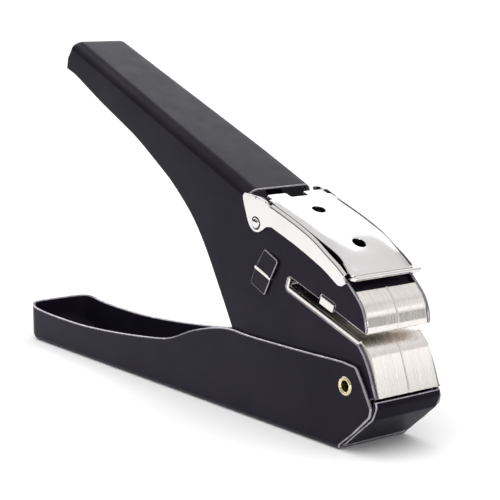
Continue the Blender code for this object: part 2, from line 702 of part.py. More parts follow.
def ear_bulge(side):
    """Sideways flare of the ears, growing towards their upper rear corner."""
    def bulge(x, z):
        rear = max(0.0, min(1.0, (56.0 - x) / 12.0))
        high = max(0.0, min(1.0, (z - 71.5) / 9.0))
        return side * 1.7 * rear * high * high
    return bulge


def build_cover_frame():
    """Both flanges of the cover, with ears on the hinge, shoulders and a strap joining them."""
    top = [p for p in cover_line(-SHOULDER_DROP) if p[0] < 96.4]
    flange = FLANGE_LOW + list(reversed(top)) + [(46.4, 81.3), (43.4, 81.3), (41.6, 81.0)]
    body = None
    for side in (-1, 1):
        faces = sorted((side * (COVER_HALF - COVER_T), side * COVER_HALF))
        part = triangulated_plate("cover_frame", flange, faces[0], faces[1], ear_bulge(side), 3.0)
        faces = sorted((side * (COVER_HALF - 1.2), side * (COVER_HALF - 0.1)))
        rail_path = [p for p in top if p[0] > 56.5]
        rail = prism("rail", strip_outline(rail_path, 1.2), faces[0], faces[1])
        part = combine(part, rail, "UNION")
        body = part if body is None else combine(body, part, "UNION")
    strap_path = [p for p in cover_line(-STRAP_DROP) if 58.0 < p[0] < 95.6]
    strap_half = COVER_HALF - 0.5
    strap = prism("strap", strip_outline(strap_path, COVER_T), -strap_half, strap_half)
    window = [(61.0, 40.0), (91.5, 40.0), (91.5, 90.0), (61.0, 90.0)]
    strap = combine(strap, prism("tool", window, -12.9, 12.9), "DIFFERENCE")
    body = combine(body, strap, "UNION")
    return cut_across(body, COVER_PIN, COVER_PIN_R + RUNNING, 32)


def build_cover_plate():
    """Curved top plate with two tabs at the rear, two round holes and a finger lip."""
    path = smooth_curve(COVER_LINE, 3) + LIP_LINE
    half = COVER_HALF - 1.5
    plate = prism("cover_plate", strip_outline(path, COVER_T), -half, half)
    lip = rounded(LIP_LINE + LIP_UNDERSIDE, 0.4, steps=2)
    plate = combine(plate, prism("tool", lip, -half - 0.5, half + 0.5), "UNION")
    for side in (-1, 1):
        recess = sorted((side * 12.4, side * 20.0))
        tool = box("tool", (40.0, recess[0], 60.0), (54.0, recess[1], 95.0))
        plate = combine(plate, tool, "DIFFERENCE")
    tool = box("tool", (40.0, -3.9, 60.0), (53.8, 3.9, 95.0))
    plate = combine(plate, tool, "DIFFERENCE")
    normal = Vector((0.36, 0.0, 0.93))
    for x in COVER_HOLES:
        z = float(np.interp(x, [p[0] for p in COVER_LINE], [p[1] for p in COVER_LINE]))
        base = Vector((x, 0.0, z)) - normal * 6.0
        plate = combine(plate, cylinder("tool", base, normal, 2.5, 12.0, 24), "DIFFERENCE")
    return plate


def build_cover_pin():
    """Headed pin the cover turns on."""
    reach = COVER_HALF + 0.25
    profile = [(0, -reach - 0.7), (1.5, -reach - 0.7), (2.1, -reach - 0.3), (2.1, -reach),
               (COVER_PIN_R, -reach), (COVER_PIN_R, reach), (2.1, reach), (2.1, reach + 0.3),
               (1.5, reach + 0.7), (0, reach + 0.7)]
    return revolve("cover_pin", (COVER_PIN[0], 0.0, COVER_PIN[1]), ACROSS, profile, 28)


def build_cover_spring():
    """Leaf spring under the handle's web whose tip holds the cover down."""
    under_web = HANDLE_TOP_FRONT - FRAME_T - GAP
    path = rounded([slope_point(-98.0, under_web), slope_point(-81.0, under_web), (41.0, 78.6),
                    (44.6, 76.6), (50.4, 79.4)], [0, 6.0, 4.0, 2.0, 0], steps=3, closed=False)
    return prism("cover_spring", strip_outline(path, 0.7), -3.4, 3.4)


# ---- materials and assembly ------------------------------------------------------------
MATERIALS = {
    "black_paint": ((0.012, 0.011, 0.014, 1.0), 0.1, 0.38),
    "nickel": ((0.72, 0.69, 0.64, 1.0), 1.0, 0.28),
    "chrome": ((0.86, 0.85, 0.84, 1.0), 1.0, 0.08),
    "rivet_brass": ((0.70, 0.60, 0.38, 1.0), 1.0, 0.25),
    "tool_steel": ((0.42, 0.42, 0.43, 1.0), 1.0, 0.32),
}

# name of the empty: its place (millimetres) and the empty it hangs on
JOINTS = {
    "lever_hinge": ((PIVOT[0], 0.0, PIVOT[1]), None),
    "punch_slide": ((throat_point(PUNCH_P, COLLAR_Q[0])[0], 0.0,
                     throat_point(PUNCH_P, COLLAR_Q[0])[1]), "lever_hinge"),
    "cover_hinge": ((COVER_PIN[0], 0.0, COVER_PIN[1]), "lever_hinge"),
}

# builder, material and the empty on whose joint the piece moves
NODES = [
    (build_lever_pan, "black_paint", None),
    (build_nose_guard, "black_paint", None),
    (build_drive_bracket, "tool_steel", None),
    (build_drive_pin, "tool_steel", None),
    (build_floor_rivets, "tool_steel", None),
    (build_pivot_rivet, "rivet_brass", None),
    (build_main_frame, "black_paint", "lever_hinge"),
    (build_throat_liner, "nickel", "lever_hinge"),
    (build_upper_nose, "nickel", "lever_hinge"),
    (build_die_plate, "nickel", "lever_hinge"),
    (build_die_bush, "tool_steel", "lever_hinge"),
    (build_chip_chute, "black_paint", "lever_hinge"),
    (build_punch_guide, "tool_steel", "lever_hinge"),
    (build_return_spring, "tool_steel", "lever_hinge"),
    (build_pivot_sleeve, "tool_steel", "lever_hinge"),
    (build_cover_pin, "chrome", "lever_hinge"),
    (build_cover_spring, "black_paint", "lever_hinge"),
    (build_punch, "tool_steel", "punch_slide"),
    (build_punch_collar, "tool_steel", "punch_slide"),
    (build_spring_seat, "tool_steel", "punch_slide"),
    (build_cover_frame, "chrome", "cover_hinge"),
    (build_cover_plate, "chrome", "cover_hinge"),
]


def make_material(name):
    """Principled material of one slot."""
    colour, metallic, roughness = MATERIALS[name]
    material = bpy.data.materials.get(name) or bpy.data.materials.new(name)
    material.use_nodes = True
    shader = material.node_tree.nodes["Principled BSDF"]
    shader.inputs["Base Color"].default_value = colour
    shader.inputs["Metallic"].default_value = metallic
    shader.inputs["Roughness"].default_value = roughness
    material.diffuse_color = colour
    return material


def hang_on(child, parent):
    """Parents an object without moving it."""
    bpy.context.view_layer.update()
    child.parent = parent
    child.matrix_parent_inverse = parent.matrix_world.inverted()


def make_joint_empties():
    """One empty on each joint's axis."""
    empties = {}
    for name, (place, parent) in JOINTS.items():
        empty = bpy.data.objects.new(name, None)
        empty.empty_display_size = 0.01
        empty.location = (Vector(place) - Vector((CENTRE_X, 0.0, 0.0))) * MM
        bpy.context.scene.collection.objects.link(empty)
        if parent:
            hang_on(empty, empties[parent])
        empties[name] = empty
    return empties


def main():
    """Builds every node in an empty scene."""
    for obj in list(bpy.data.objects):
        bpy.data.objects.remove(obj, do_unlink=True)
    empties = make_joint_empties()
    for builder, material, joint in NODES:
        built = builder()
        for obj in built if isinstance(built, list) else [built]:
            obj.data.materials.clear()
            obj.data.materials.append(make_material(material))
            for polygon in obj.data.polygons:
                polygon.material_index = 0
            if joint:
                hang_on(obj, empties[joint])


main()
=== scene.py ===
"""Looks of the single-hole hand punch: rolled sheet-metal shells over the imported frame.

Lengths are in millimetres until make_piece scales them. Side views are (x, z) pairs in the
drawing's own axes, in which the row origin lies at x = ORIGIN_X. The joints' places come from the
frame. Lights and camera are in metres.
"""

import json
import math

import bmesh
import bpy
import numpy as np
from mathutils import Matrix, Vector
from mathutils.geometry import delaunay_2d_cdt


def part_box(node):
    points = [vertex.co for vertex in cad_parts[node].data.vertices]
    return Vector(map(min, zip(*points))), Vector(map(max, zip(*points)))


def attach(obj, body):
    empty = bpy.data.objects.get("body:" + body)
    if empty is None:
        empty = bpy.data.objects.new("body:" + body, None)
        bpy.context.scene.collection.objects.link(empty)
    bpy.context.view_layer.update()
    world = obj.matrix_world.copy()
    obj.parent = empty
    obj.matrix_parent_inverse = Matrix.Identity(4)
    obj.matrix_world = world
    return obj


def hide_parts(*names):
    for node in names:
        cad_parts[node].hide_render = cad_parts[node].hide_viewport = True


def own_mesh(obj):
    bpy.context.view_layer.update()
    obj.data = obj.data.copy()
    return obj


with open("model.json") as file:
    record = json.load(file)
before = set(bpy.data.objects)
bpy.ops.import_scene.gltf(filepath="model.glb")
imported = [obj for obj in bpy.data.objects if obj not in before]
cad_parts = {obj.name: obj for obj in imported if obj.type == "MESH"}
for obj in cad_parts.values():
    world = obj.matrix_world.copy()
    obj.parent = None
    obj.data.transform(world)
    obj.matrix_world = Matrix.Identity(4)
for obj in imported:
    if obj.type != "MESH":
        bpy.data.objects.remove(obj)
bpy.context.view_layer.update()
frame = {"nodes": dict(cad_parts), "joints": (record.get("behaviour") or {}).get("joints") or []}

MM = 0.001
ORIGIN_X = -2.45               # the row origin, in the drawing's axes
QUARTER = 0.5 * math.pi


def joint_place(name):
    """Side-view place of a hinge in the drawing's axes."""
    joint = next(j for j in frame["joints"] if j["name"] == name)
    x, _, z = joint["pos_m"]
    return x / MM + ORIGIN_X, z / MM


def half_width(node):
    """Largest |y| of a CAD node."""
    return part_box(node)[1].y / MM


# ---- driving dimensions (millimetres) ----
PIVOT = joint_place("handle_hinge")
COVER_PIN = joint_place("cover_hinge")
INNER_HALF = half_width("throat_liner")          # what sits between the side plates
PAN_HALF = half_width("lever_pan")
FRAME_T, PAN_T, SHEET_T, COVER_T = 1.1, 1.2, 1.2, 0.8
GAP = 0.3                                        # play between neighbouring sheets
FRAME_HALF = INNER_HALF + GAP + FRAME_T          # outer face of the side plates
COVER_HALF = FRAME_HALF + GAP + COVER_T          # outer face of the cover's flanges
HANDLE_TILT, THROAT_TILT = math.radians(22.5), math.radians(18.6)

HANDLE_TOP_FRONT, HANDLE_TOP_REAR = 34.2, 33.2   # outer face of the web, across the slope
HANDLE_BEND = 4.0
TAPER_START, TAPER_END, TAPER_HALF = -100.0, -200.0, 12.9
TABLE_Q, JAW_Q = 69.0, 71.85                     # the throat's two faces, across it
SLOT_LOW_Q, SLOT_HIGH_Q, SLOT_END_P = 67.7, 72.7, 44.6
SLOT_MOUTH_LOW_P, SLOT_MOUTH_HIGH_P = 84.6, 85.2
PUNCH_P = 66.1                                   # the punch's place along the throat
DIE_T, DIE_TAB_HALF, DIE_REAR_P, DIE_FRONT_P, DIE_SEAT_R = 2.8, 3.5, 57.0, 75.2, 5.0
SPRING_SEAT_TOP_Q, GUIDE_LOW_Q = 46.3, 58.2      # what the return spring stands between
RIVET_R, RIVET_RIM_R, RIVET_BORE_R = 2.6, 3.25, 1.9
HEEL_CORNER, FLOOR_BEND = 8.5, 2.0


def slope_point(along, across):
    """Point along / across the upper handle's slope, from the lever rivet."""
    return (PIVOT[0] + along * math.cos(HANDLE_TILT) + across * math.sin(HANDLE_TILT),
            PIVOT[1] - along * math.sin(HANDLE_TILT) + across * math.cos(HANDLE_TILT))


def on_slope(x, z):
    """The inverse of slope_point."""
    dx, dz = x - PIVOT[0], z - PIVOT[1]
    return (dx * math.cos(HANDLE_TILT) - dz * math.sin(HANDLE_TILT),
            dx * math.sin(HANDLE_TILT) + dz * math.cos(HANDLE_TILT))


def throat_point(p, q):
    """Point along / across the paper throat."""
    return (p * math.cos(THROAT_TILT) + q * math.sin(THROAT_TILT),
            -p * math.sin(THROAT_TILT) + q * math.cos(THROAT_TILT))


PUNCH_DIR = Vector((math.sin(THROAT_TILT), 0.0, math.cos(THROAT_TILT)))
ACROSS = Vector((0.0, 1.0, 0.0))


# ---- curves ----
NEARLY_STRAIGHT = math.radians(86.0)


def arc_angles(steps, total=QUARTER):
    """Evenly spaced angles from 0 to the total."""
    return [total * k / steps for k in range(steps + 1)]


def full_turn(steps):
    """Angles round a full turn, with the first one again at the end."""
    return arc_angles(steps, 2.0 * math.pi)[:-1] + [0.0]


def rounded(points, radii, steps=6, closed=True):
    """Polyline with each corner replaced by an arc; radii is one number or one per point."""
    count = len(points)
    if not isinstance(radii, (list, tuple)):
        radii = [radii] * count
    out = []
    for i, point in enumerate(points):
        here = Vector(point)
        if radii[i] <= 0.0 or (not closed and i in (0, count - 1)):
            out.append((here.x, here.y))
            continue
        before = Vector(points[i - 1]) - here
        after = Vector(points[(i + 1) % count]) - here
        half_angle = before.angle(after) / 2.0
        if half_angle > NEARLY_STRAIGHT:
            out.append((here.x, here.y))
            continue
        reach = radii[i] / math.tan(half_angle)
        reach = min(reach, 0.48 * before.length, 0.48 * after.length)
        radius = reach * math.tan(half_angle)
        start = here + before.normalized() * reach
        finish = here + after.normalized() * reach
        bisector = (before.normalized() + after.normalized()).normalized()
        centre = here + bisector * (radius / math.sin(half_angle))
        first = start - centre
        sweep = math.pi - 2.0 * half_angle
        turn = 1.0 if first.x * (finish - centre).y - first.y * (finish - centre).x > 0 else -1.0
        for angle in arc_angles(steps, turn * sweep):
            cos_a, sin_a = math.cos(angle), math.sin(angle)
            out.append((centre.x + first.x * cos_a - first.y * sin_a,
                        centre.y + first.x * sin_a + first.y * cos_a))
    return out


def smooth_curve(points, per_span=4):
    """Catmull-Rom curve through the points."""
    pts = [Vector(p) for p in points]
    pts = [2 * pts[0] - pts[1]] + pts + [2 * pts[-1] - pts[-2]]
    out = []
    for i in range(1, len(pts) - 2):
        a, b, c, d = pts[i - 1], pts[i], pts[i + 1], pts[i + 2]
        for k in range(per_span):
            t = k / per_span
            value = 0.5 * (2 * b + (c - a) * t + (2 * a - 5 * b + 4 * c - d) * t * t
                           + (3 * b - a - 3 * c + d) * t * t * t)
            out.append((value.x, value.y))
    out.append((pts[-2].x, pts[-2].y))
    return out


def offset_path(path, distance):
    """Open polyline moved sideways; positive distance is to the left of the travel."""
    out = []
    for i, point in enumerate(path):
        before = Vector(path[max(i - 1, 0)])
        after = Vector(path[min(i + 1, len(path) - 1)])
        here = Vector(point)
        lead = (here - before) if i > 0 else (after - here)
        trail = (after - here) if i < len(path) - 1 else lead
        n_lead = Vector((-lead.y, lead.x)).normalized()
        n_trail = Vector((-trail.y, trail.x)).normalized()
        normal = (n_lead + n_trail).normalized()
        moved = here + normal * distance / max(normal.dot(n_lead), 0.5)
        out.append((moved.x, moved.y))
    return out


def resampled(path, spacing):
    """Open polyline with extra points so that no stretch is longer than the spacing."""
    out = [tuple(path[0])]
    for a, b in zip(path, path[1:]):
        steps = max(1, math.ceil(math.dist(a, b) / spacing))
        out += [(a[0] + (b[0] - a[0]) * k / steps, a[1] + (b[1] - a[1]) * k / steps)
                for k in range(1, steps + 1)]
    return out


def subdivided(outline, spacing):
    """Closed outline with its long stretches split."""
    return resampled(list(outline) + [outline[0]], spacing)[:-1]


def bent_line(corners, radii, spacing):
    """Open line with rounded corners and points no further apart than the spacing."""
    return resampled(rounded(corners, radii, steps=8, closed=False), spacing)


def circle(centre, radius, count=28):
    """Closed ring of points."""
    return [(centre[0] + radius * math.cos(angle), centre[1] + radius * math.sin(angle))
            for angle in full_turn(count)[:-1]]


def share(value, low, high):
    """How far a value has come from low to high, held between 0 and 1."""
    return max(0.0, min(1.0, (value - low) / (high - low)))


def blend_step(value, low, high):
    """0 below low, 1 above high, smooth between."""
    t = share(value, low, high)
    return t * t * (3.0 - 2.0 * t)


def inside(outline, x, z):
    """Whether a point lies within a closed outline."""
    hit = False
    for i, (x0, z0) in enumerate(outline):
        x1, z1 = outline[i - 1]
        if (z0 > z) != (z1 > z) and x < (x1 - x0) * (z - z0) / (z1 - z0) + x0:
            hit = not hit
    return hit


def distance_to(outline, x, z):
    """Shortest distance from a point to a closed outline."""
    pts = np.array(outline)
    a, span = np.roll(pts, 1, axis=0), pts - np.roll(pts, 1, axis=0)
    here = np.array((x, z))
    t = np.clip(((here - a) * span).sum(1) / np.maximum((span ** 2).sum(1), 1e-12), 0.0, 1.0)
    return float(np.sqrt(((here - a - span * t[:, None]) ** 2).sum(1)).min())


# ---- meshes ----
def scene_object(name, data):
    """New object of the scene."""
    obj = bpy.data.objects.new(name, data)
    bpy.context.scene.collection.objects.link(obj)
    return obj


class Patches:
    """Surface patches collected into one mesh and welded where they meet."""

    def __init__(self):
        self.verts, self.faces = [], []

    def grid(self, rows):
        """Rows of equally many points, joined by quads."""
        base, width = len(self.verts), len(rows[0])
        for row in rows:
            self.verts += [Vector(p) for p in row]
        for r in range(len(rows) - 1):
            for c in range(width - 1):
                a = base + r * width + c
                self.faces.append((a, a + 1, a + width + 1, a + width))

    def region(self, outline, place, spacing, holes=()):
        """Flat region (u, v) with holes, cut into triangles and placed by place(u, v)."""
        loops = [list(outline)] + [list(h) for h in holes]
        points, edges = [], []
        for loop in loops:
            start, count = len(points), len(loop)
            points += [Vector(p) for p in loop]
            edges += [(start + i, start + (i + 1) % count) for i in range(count)]
        low, high = np.min(outline, axis=0), np.max(outline, axis=0)
        for u in np.arange(low[0] + 0.5 * spacing, high[0], spacing):
            for v in np.arange(low[1] + 0.5 * spacing, high[1], spacing):
                free = all(distance_to(loop, u, v) > 0.5 * spacing for loop in loops)
                if free and inside(outline, u, v) and not any(inside(h, u, v) for h in holes):
                    points.append(Vector((u, v)))
        flat, _, faces, _, _, _ = delaunay_2d_cdt(points, edges, [], 1, 1e-5)
        base = len(self.verts)
        self.verts += [Vector(place(p.x, p.y)) for p in flat]
        for face in faces:
            centre = sum((flat[i] for i in face), Vector((0.0, 0.0))) / len(face)
            if not any(inside(h, centre.x, centre.y) for h in holes):
                self.faces.append(tuple(base + i for i in face))

    def build(self, name):
        """The welded mesh object, in metres and in the row frame."""
        return make_piece(name, self.verts, self.faces)


def make_piece(name, verts, faces):
    """Mesh object from millimetre vertices in the drawing's axes."""
    mesh = bpy.data.meshes.new(name)
    centre = Vector((ORIGIN_X, 0.0, 0.0))
    mesh.from_pydata([(Vector(v) - centre) * MM for v in verts], [], faces)
    bm = bmesh.new()
    bm.from_mesh(mesh)
    bmesh.ops.remove_doubles(bm, verts=bm.verts, dist=0.004 * MM)
    bmesh.ops.dissolve_degenerate(bm, edges=bm.edges, dist=0.002 * MM)
    bmesh.ops.recalc_face_normals(bm, faces=bm.faces)
    bm.to_mesh(mesh)
    bm.free()
    return scene_object(name, mesh)


def smooth_shaded(obj, sharp=None):
    """Smooth shading, kept hard at edges above the sharp angle."""
    for polygon in obj.data.polygons:
        polygon.use_smooth = True
    if sharp:
        obj.data.set_sharp_from_angle(angle=math.radians(sharp))
    return obj


def face_outwards(obj, core):
    """Turns every face away from the core, a place inside the bent sheet: core(x, y, z)."""
    bm = bmesh.new()
    bm.from_mesh(obj.data)
    wrong = []
    for face in bm.faces:
        here = face.calc_center_median() / MM + Vector((ORIGIN_X, 0.0, 0.0))
        if face.normal.dot(here - Vector(core(*here))) < 0.0:
            wrong.append(face)
    bmesh.ops.reverse_faces(bm, faces=wrong)
    bm.to_mesh(obj.data)
    bm.free()


def sheet(patches, name, thickness, edge, core):
    """Turns welded patches, its outer face, into sheet metal with rolled edges."""
    obj = patches.build(name)
    face_outwards(obj, core)
    solid = obj.modifiers.new("thickness", "SOLIDIFY")
    solid.thickness = thickness * MM
    solid.offset = -1.0
    solid.use_even_offset = True
    solid.use_quality_normals = True
    return roll_edges(obj, edge)


def roll_edges(obj, edge, segments=3, limit=40.0):
    """Rounds the sharp edges and smooths the shading."""
    bevel = obj.modifiers.new("rolled_edges", "BEVEL")
    bevel.width = edge * MM
    bevel.segments = segments
    bevel.limit_method = "ANGLE"
    bevel.angle_limit = math.radians(limit)
    bevel.use_clamp_overlap = False
    weights = obj.modifiers.new("flat_faces_first", "WEIGHTED_NORMAL")
    weights.keep_sharp = False
    return smooth_shaded(obj)


def extrusion(name, outline, low_y, high_y, columns=1):
    """Closed side-view outline pushed across the width."""
    patches = Patches()
    rows = []
    for y in np.linspace(low_y, high_y, columns + 1):
        rows.append([(x, y, z) for x, z in list(outline) + [outline[0]]])
    patches.grid(rows)
    for y in (low_y, high_y):
        base = len(patches.verts)
        patches.verts += [Vector((x, y, z)) for x, z in outline]
        patches.faces.append(tuple(range(base, base + len(outline))))
    return patches.build(name)


def side_bar(name, outline, side, inner, outer):
    """Bar on one side, between two distances from the middle plane."""
    low, high = sorted((side * inner, side * outer))
    return roll_edges(extrusion(name, outline, low, high), 0.18)


def turned(name, place, far, hollow=False, segments=64):
    """Pin across the object; far is the half of its profile on one side, (radius, distance)."""
    profile = [(radius, -distance) for radius, distance in reversed(far)] + far
    if hollow:
        profile.append(profile[0])
    patches = Patches()
    patches.grid([[(place[0] + radius * math.cos(a), distance, place[1] - radius * math.sin(a))
                   for a in full_turn(segments)] for radius, distance in profile])
    return smooth_shaded(patches.build(name), 50.0)


# ---- materials ----
def object_noise(tree, scale, detail=3.0, stretch=(1.0, 1.0, 1.0)):
    """Noise that stays fixed to the piece; scale is per metre."""
    coordinates = tree.nodes.new("ShaderNodeTexCoord")
    mapping = tree.nodes.new("ShaderNodeMapping")
    mapping.inputs["Scale"].default_value = stretch
    noise = tree.nodes.new("ShaderNodeTexNoise")
    noise.inputs["Scale"].default_value = scale
    noise.inputs["Detail"].default_value = detail
    tree.links.new(coordinates.outputs["Object"], mapping.inputs["Vector"])
    tree.links.new(mapping.outputs["Vector"], noise.inputs["Vector"])
    return noise.outputs["Fac"]


def ramp(tree, value, low, high, colours):
    """Value mapped to a blend of two colours."""
    node = tree.nodes.new("ShaderNodeValToRGB")
    node.color_ramp.elements[0].position = low
    node.color_ramp.elements[1].position = high
    node.color_ramp.elements[0].color = (*colours[0], 1.0)
    node.color_ramp.elements[1].color = (*colours[1], 1.0)
    tree.links.new(value, node.inputs["Fac"])
    return node.outputs["Color"]


def to_range(tree, value, low, high):
    """Noise value mapped to low..high."""
    node = tree.nodes.new("ShaderNodeMapRange")
    node.inputs["From Min"].default_value = 0.3
    node.inputs["From Max"].default_value = 0.7
    node.inputs["To Min"].default_value = low
    node.inputs["To Max"].default_value = high
    tree.links.new(value, node.inputs["Value"])
    return node.outputs["Result"]


def bumped(tree, shader, layers):
    """Chains bump layers (height, distance in metres, strength) into the shader's normal."""
    last = None
    for height, distance, strength in layers:
        bump = tree.nodes.new("ShaderNodeBump")
        bump.inputs["Distance"].default_value = distance
        bump.inputs["Strength"].default_value = strength
        tree.links.new(height, bump.inputs["Height"])
        if last:
            tree.links.new(last, bump.inputs["Normal"])
        last = bump.outputs["Normal"]
    tree.links.new(last, shader.inputs["Normal"])


def surface(name, stain, span, colours, sheen, roughness, bumps, metallic=1.0):
    """Material whose colour, gloss and relief each follow a noise.

    stain, sheen and the first entry of each bump are what object_noise takes. The colours lie at
    the two ends of the stain's span. A bump goes on with its distance and strength.
    """
    material = bpy.data.materials.new(name)
    material.use_nodes = True
    tree = material.node_tree
    shader = tree.nodes["Principled BSDF"]
    shader.inputs["Metallic"].default_value = metallic
    colour = ramp(tree, object_noise(tree, *stain), *span, colours)
    tree.links.new(colour, shader.inputs["Base Color"])
    gloss = to_range(tree, object_noise(tree, *sheen), *roughness)
    tree.links.new(gloss, shader.inputs["Roughness"])
    bumped(tree, shader, [(object_noise(tree, *noise), distance, strength)
                          for noise, distance, strength in bumps])
    return material


def black_paint(name="black_paint", gloss=0.09):
    """Satin black powder coat: faint violet tint, fine orange peel, slight patchiness."""
    material = surface(name, (45.0, 4.0), (0.35, 0.7),
                       ((0.0065, 0.0050, 0.0105), (0.0100, 0.0080, 0.0160)),
                       (140.0, 3.0), (0.30, 0.38),
                       [((1500.0, 2.0), 0.00006, 0.16), ((120.0, 2.0), 0.0003, 0.08)], 0.0)
    shader = material.node_tree.nodes["Principled BSDF"]
    shader.inputs["Specular IOR Level"].default_value = gloss
    shader.inputs["Specular Tint"].default_value = (0.92, 0.84, 1.0, 1.0)
    return material


def worn_edge_with_highlight():
    """The same coat polished thin over the rolled edges by handling, and also lightened and made
    half metallic as a painted highlight that draws each rolled edge as a bright line.
    """
    # this noise varies both the worn coat and its painted highlight along the edges
    wear = (260.0, 4.0)
    return surface("worn_edge_with_highlight", wear, (0.35, 0.65), ((0.26, 0.245, 0.285), (0.38, 0.36, 0.41)),
                   wear, (0.20, 0.30), [((1500.0, 2.0), 0.00003, 0.1)], 0.6)


def chrome():
    """Polished plate over a pressed sheet: long soft waves and hairline wear."""
    return surface("chrome", (60.0, 3.0), (0.3, 0.7),
                   ((0.69, 0.675, 0.665), (0.76, 0.745, 0.735)), (220.0, 4.0), (0.10, 0.17),
                   [((55.0, 1.0), 0.0010, 0.14), ((2200.0, 2.0, (0.2, 1.0, 0.2)), 0.00002, 0.15)])


def brushed_nickel():
    """Nickel plate brushed along the jaw's length: streaks in height, gloss and colour."""
    streaks = (2200.0, 3.0, (0.03, 1.6, 0.03))
    return surface("brushed_nickel", streaks, (0.25, 0.75),
                   ((0.71, 0.67, 0.635), (0.82, 0.78, 0.745)),
                   (900.0, 3.0, (0.05, 1.0, 0.05)), (0.22, 0.30), [(streaks, 0.00002, 0.14)])


def pale_brass():
    """Rivet metal: pale yellow, slightly drawn and stained."""
    return surface("pale_brass", (500.0, 3.0), (0.3, 0.7),
                   ((0.62, 0.52, 0.27), (0.86, 0.79, 0.55)),
                   (900.0, 2.0), (0.16, 0.28), [((1200.0, 2.0), 0.00004, 0.2)])


def tool_steel():
    """Turned and ground steel of the works inside."""
    return surface("tool_steel", (300.0, 4.0), (0.3, 0.7),
                   ((0.30, 0.30, 0.31), (0.48, 0.48, 0.49)),
                   (800.0, 3.0), (0.26, 0.42), [((2500.0, 2.0), 0.00003, 0.25)])


def floor_paper():
    """Seamless white studio paper."""
    fibres = (6.0, 3.0)
    return surface("floor_paper", fibres, (0.3, 0.7), ((0.86, 0.86, 0.86), (0.88, 0.88, 0.88)),
                   fibres, (0.85, 0.85), [((900.0, 2.0), 0.00005, 0.05)], 0.0)


def finish_piece(obj, material, slot, body, *nodes):
    """Gives a piece its material, CAD body and the nodes it stands for; the slot is not used."""
    obj.data.materials.clear()
    obj.data.materials.append(material)
    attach(obj, body)
    if nodes:
        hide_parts(*nodes)
    return obj


def painted(obj, paint, edge, body, *nodes):
    """A painted piece, whose rolled edges carry the coat worn thin there and lightened as a
    painted highlight.
    """
    finish_piece(obj, paint, "black_paint", body, *nodes)
    obj.data.materials.append(edge)
    obj.modifiers["rolled_edges"].material = 1
    return obj


# ---- main frame ----
UNDERSIDE = [(-82.3, 119.0), (-75.9, 116.8), (-66.6, 112.2), (-57.5, 107.6), (-48.4, 103.4),
             (-39.6, 99.4), (-31.0, 95.4), (-22.5, 90.7), (-14.2, 85.7), (-6.1, 80.7),
             (1.9, 74.5), (9.5, 67.5), (17.0, 57.6), (24.3, 45.6), (31.6, 33.1), (36.5, 24.0)]
LOWER_EDGE = [(38.6, 20.4), (86.0, 9.2), (97.3, 8.6), (103.0, 11.6), (107.0, 16.8),
              (107.6, 20.2), (110.7, 20.6)]
LOWER_NOSE = [(110.2, 21.4), (109.1, 24.3), (107.9, 27.5), (106.4, 30.8), (104.3, 34.2)]
UPPER_NOSE = [(104.9, 41.2), (105.5, 43.0), (104.6, 47.0), (102.6, 50.9), (99.2, 54.4),
              (96.8, 56.6)]
HEAD_TOP = [(94.6, 58.2), (85.0, 64.8), (75.2, 69.5), (61.6, 74.4), (57.4, 75.6)]
HINGE_CREST_R = 9.0            # round the cover's pin
CREST_FROM, CREST_TO = 48, 126  # degrees
WEB_REAR = -202.2              # along the slope
WEB_FRONT = -72.6
REAR_ROLL = 2.2                # radius of the web's rolled rear edge


def handle_half(along):
    """Half width of the handle at a place along its slope."""
    t = blend_step(along, TAPER_END, TAPER_START) * 0.35
    t += 0.65 * share(along, TAPER_END, TAPER_START)
    return TAPER_HALF + (FRAME_HALF - TAPER_HALF) * min(t, 1.0)


def handle_top(along):
    """Height of the web's outer face across the slope."""
    rise = share(along, TAPER_END, TAPER_START)
    return HANDLE_TOP_REAR + (HANDLE_TOP_FRONT - HANDLE_TOP_REAR) * rise


def rear_drop(along):
    """How far the web's rolled rear edge has dropped."""
    near = max(0.0, REAR_ROLL - (along - WEB_REAR))
    return REAR_ROLL - math.sqrt(max(REAR_ROLL ** 2 - near ** 2, 0.0))


def web_stations(count=52):
    """Places along the slope, closer together at the rolled rear edge."""
    fine = [WEB_REAR + REAR_ROLL * part for part in (0.0, 0.22, 0.52, 1.0)]
    first = fine[-1]
    return fine + [first + (WEB_FRONT - first) * k / count for k in range(1, count + 1)]


def bend_start(along):
    """Side-view place where the side plate turns into the bend."""
    return slope_point(along, handle_top(along) - HANDLE_BEND)


def web_row(along, turns=8, columns=8):
    """Cross-section points from the left side plate over the web to the right one."""
    half, top = handle_half(along), handle_top(along)
    drop = rear_drop(along)
    left = []
    for angle in arc_angles(turns):
        height = top - HANDLE_BEND + HANDLE_BEND * math.sin(angle)
        left.append((-half + HANDLE_BEND - HANDLE_BEND * math.cos(angle),
                     height - drop * math.sin(angle) ** 2))
    inner = half - HANDLE_BEND
    middle = [(-inner + 2.0 * inner * k / columns, top - drop) for k in range(1, columns)]
    row = []
    for y, across in left + middle + [(-y, across) for y, across in reversed(left)]:
        x, z = slope_point(along, across)
        row.append((x, y, z))
    return row


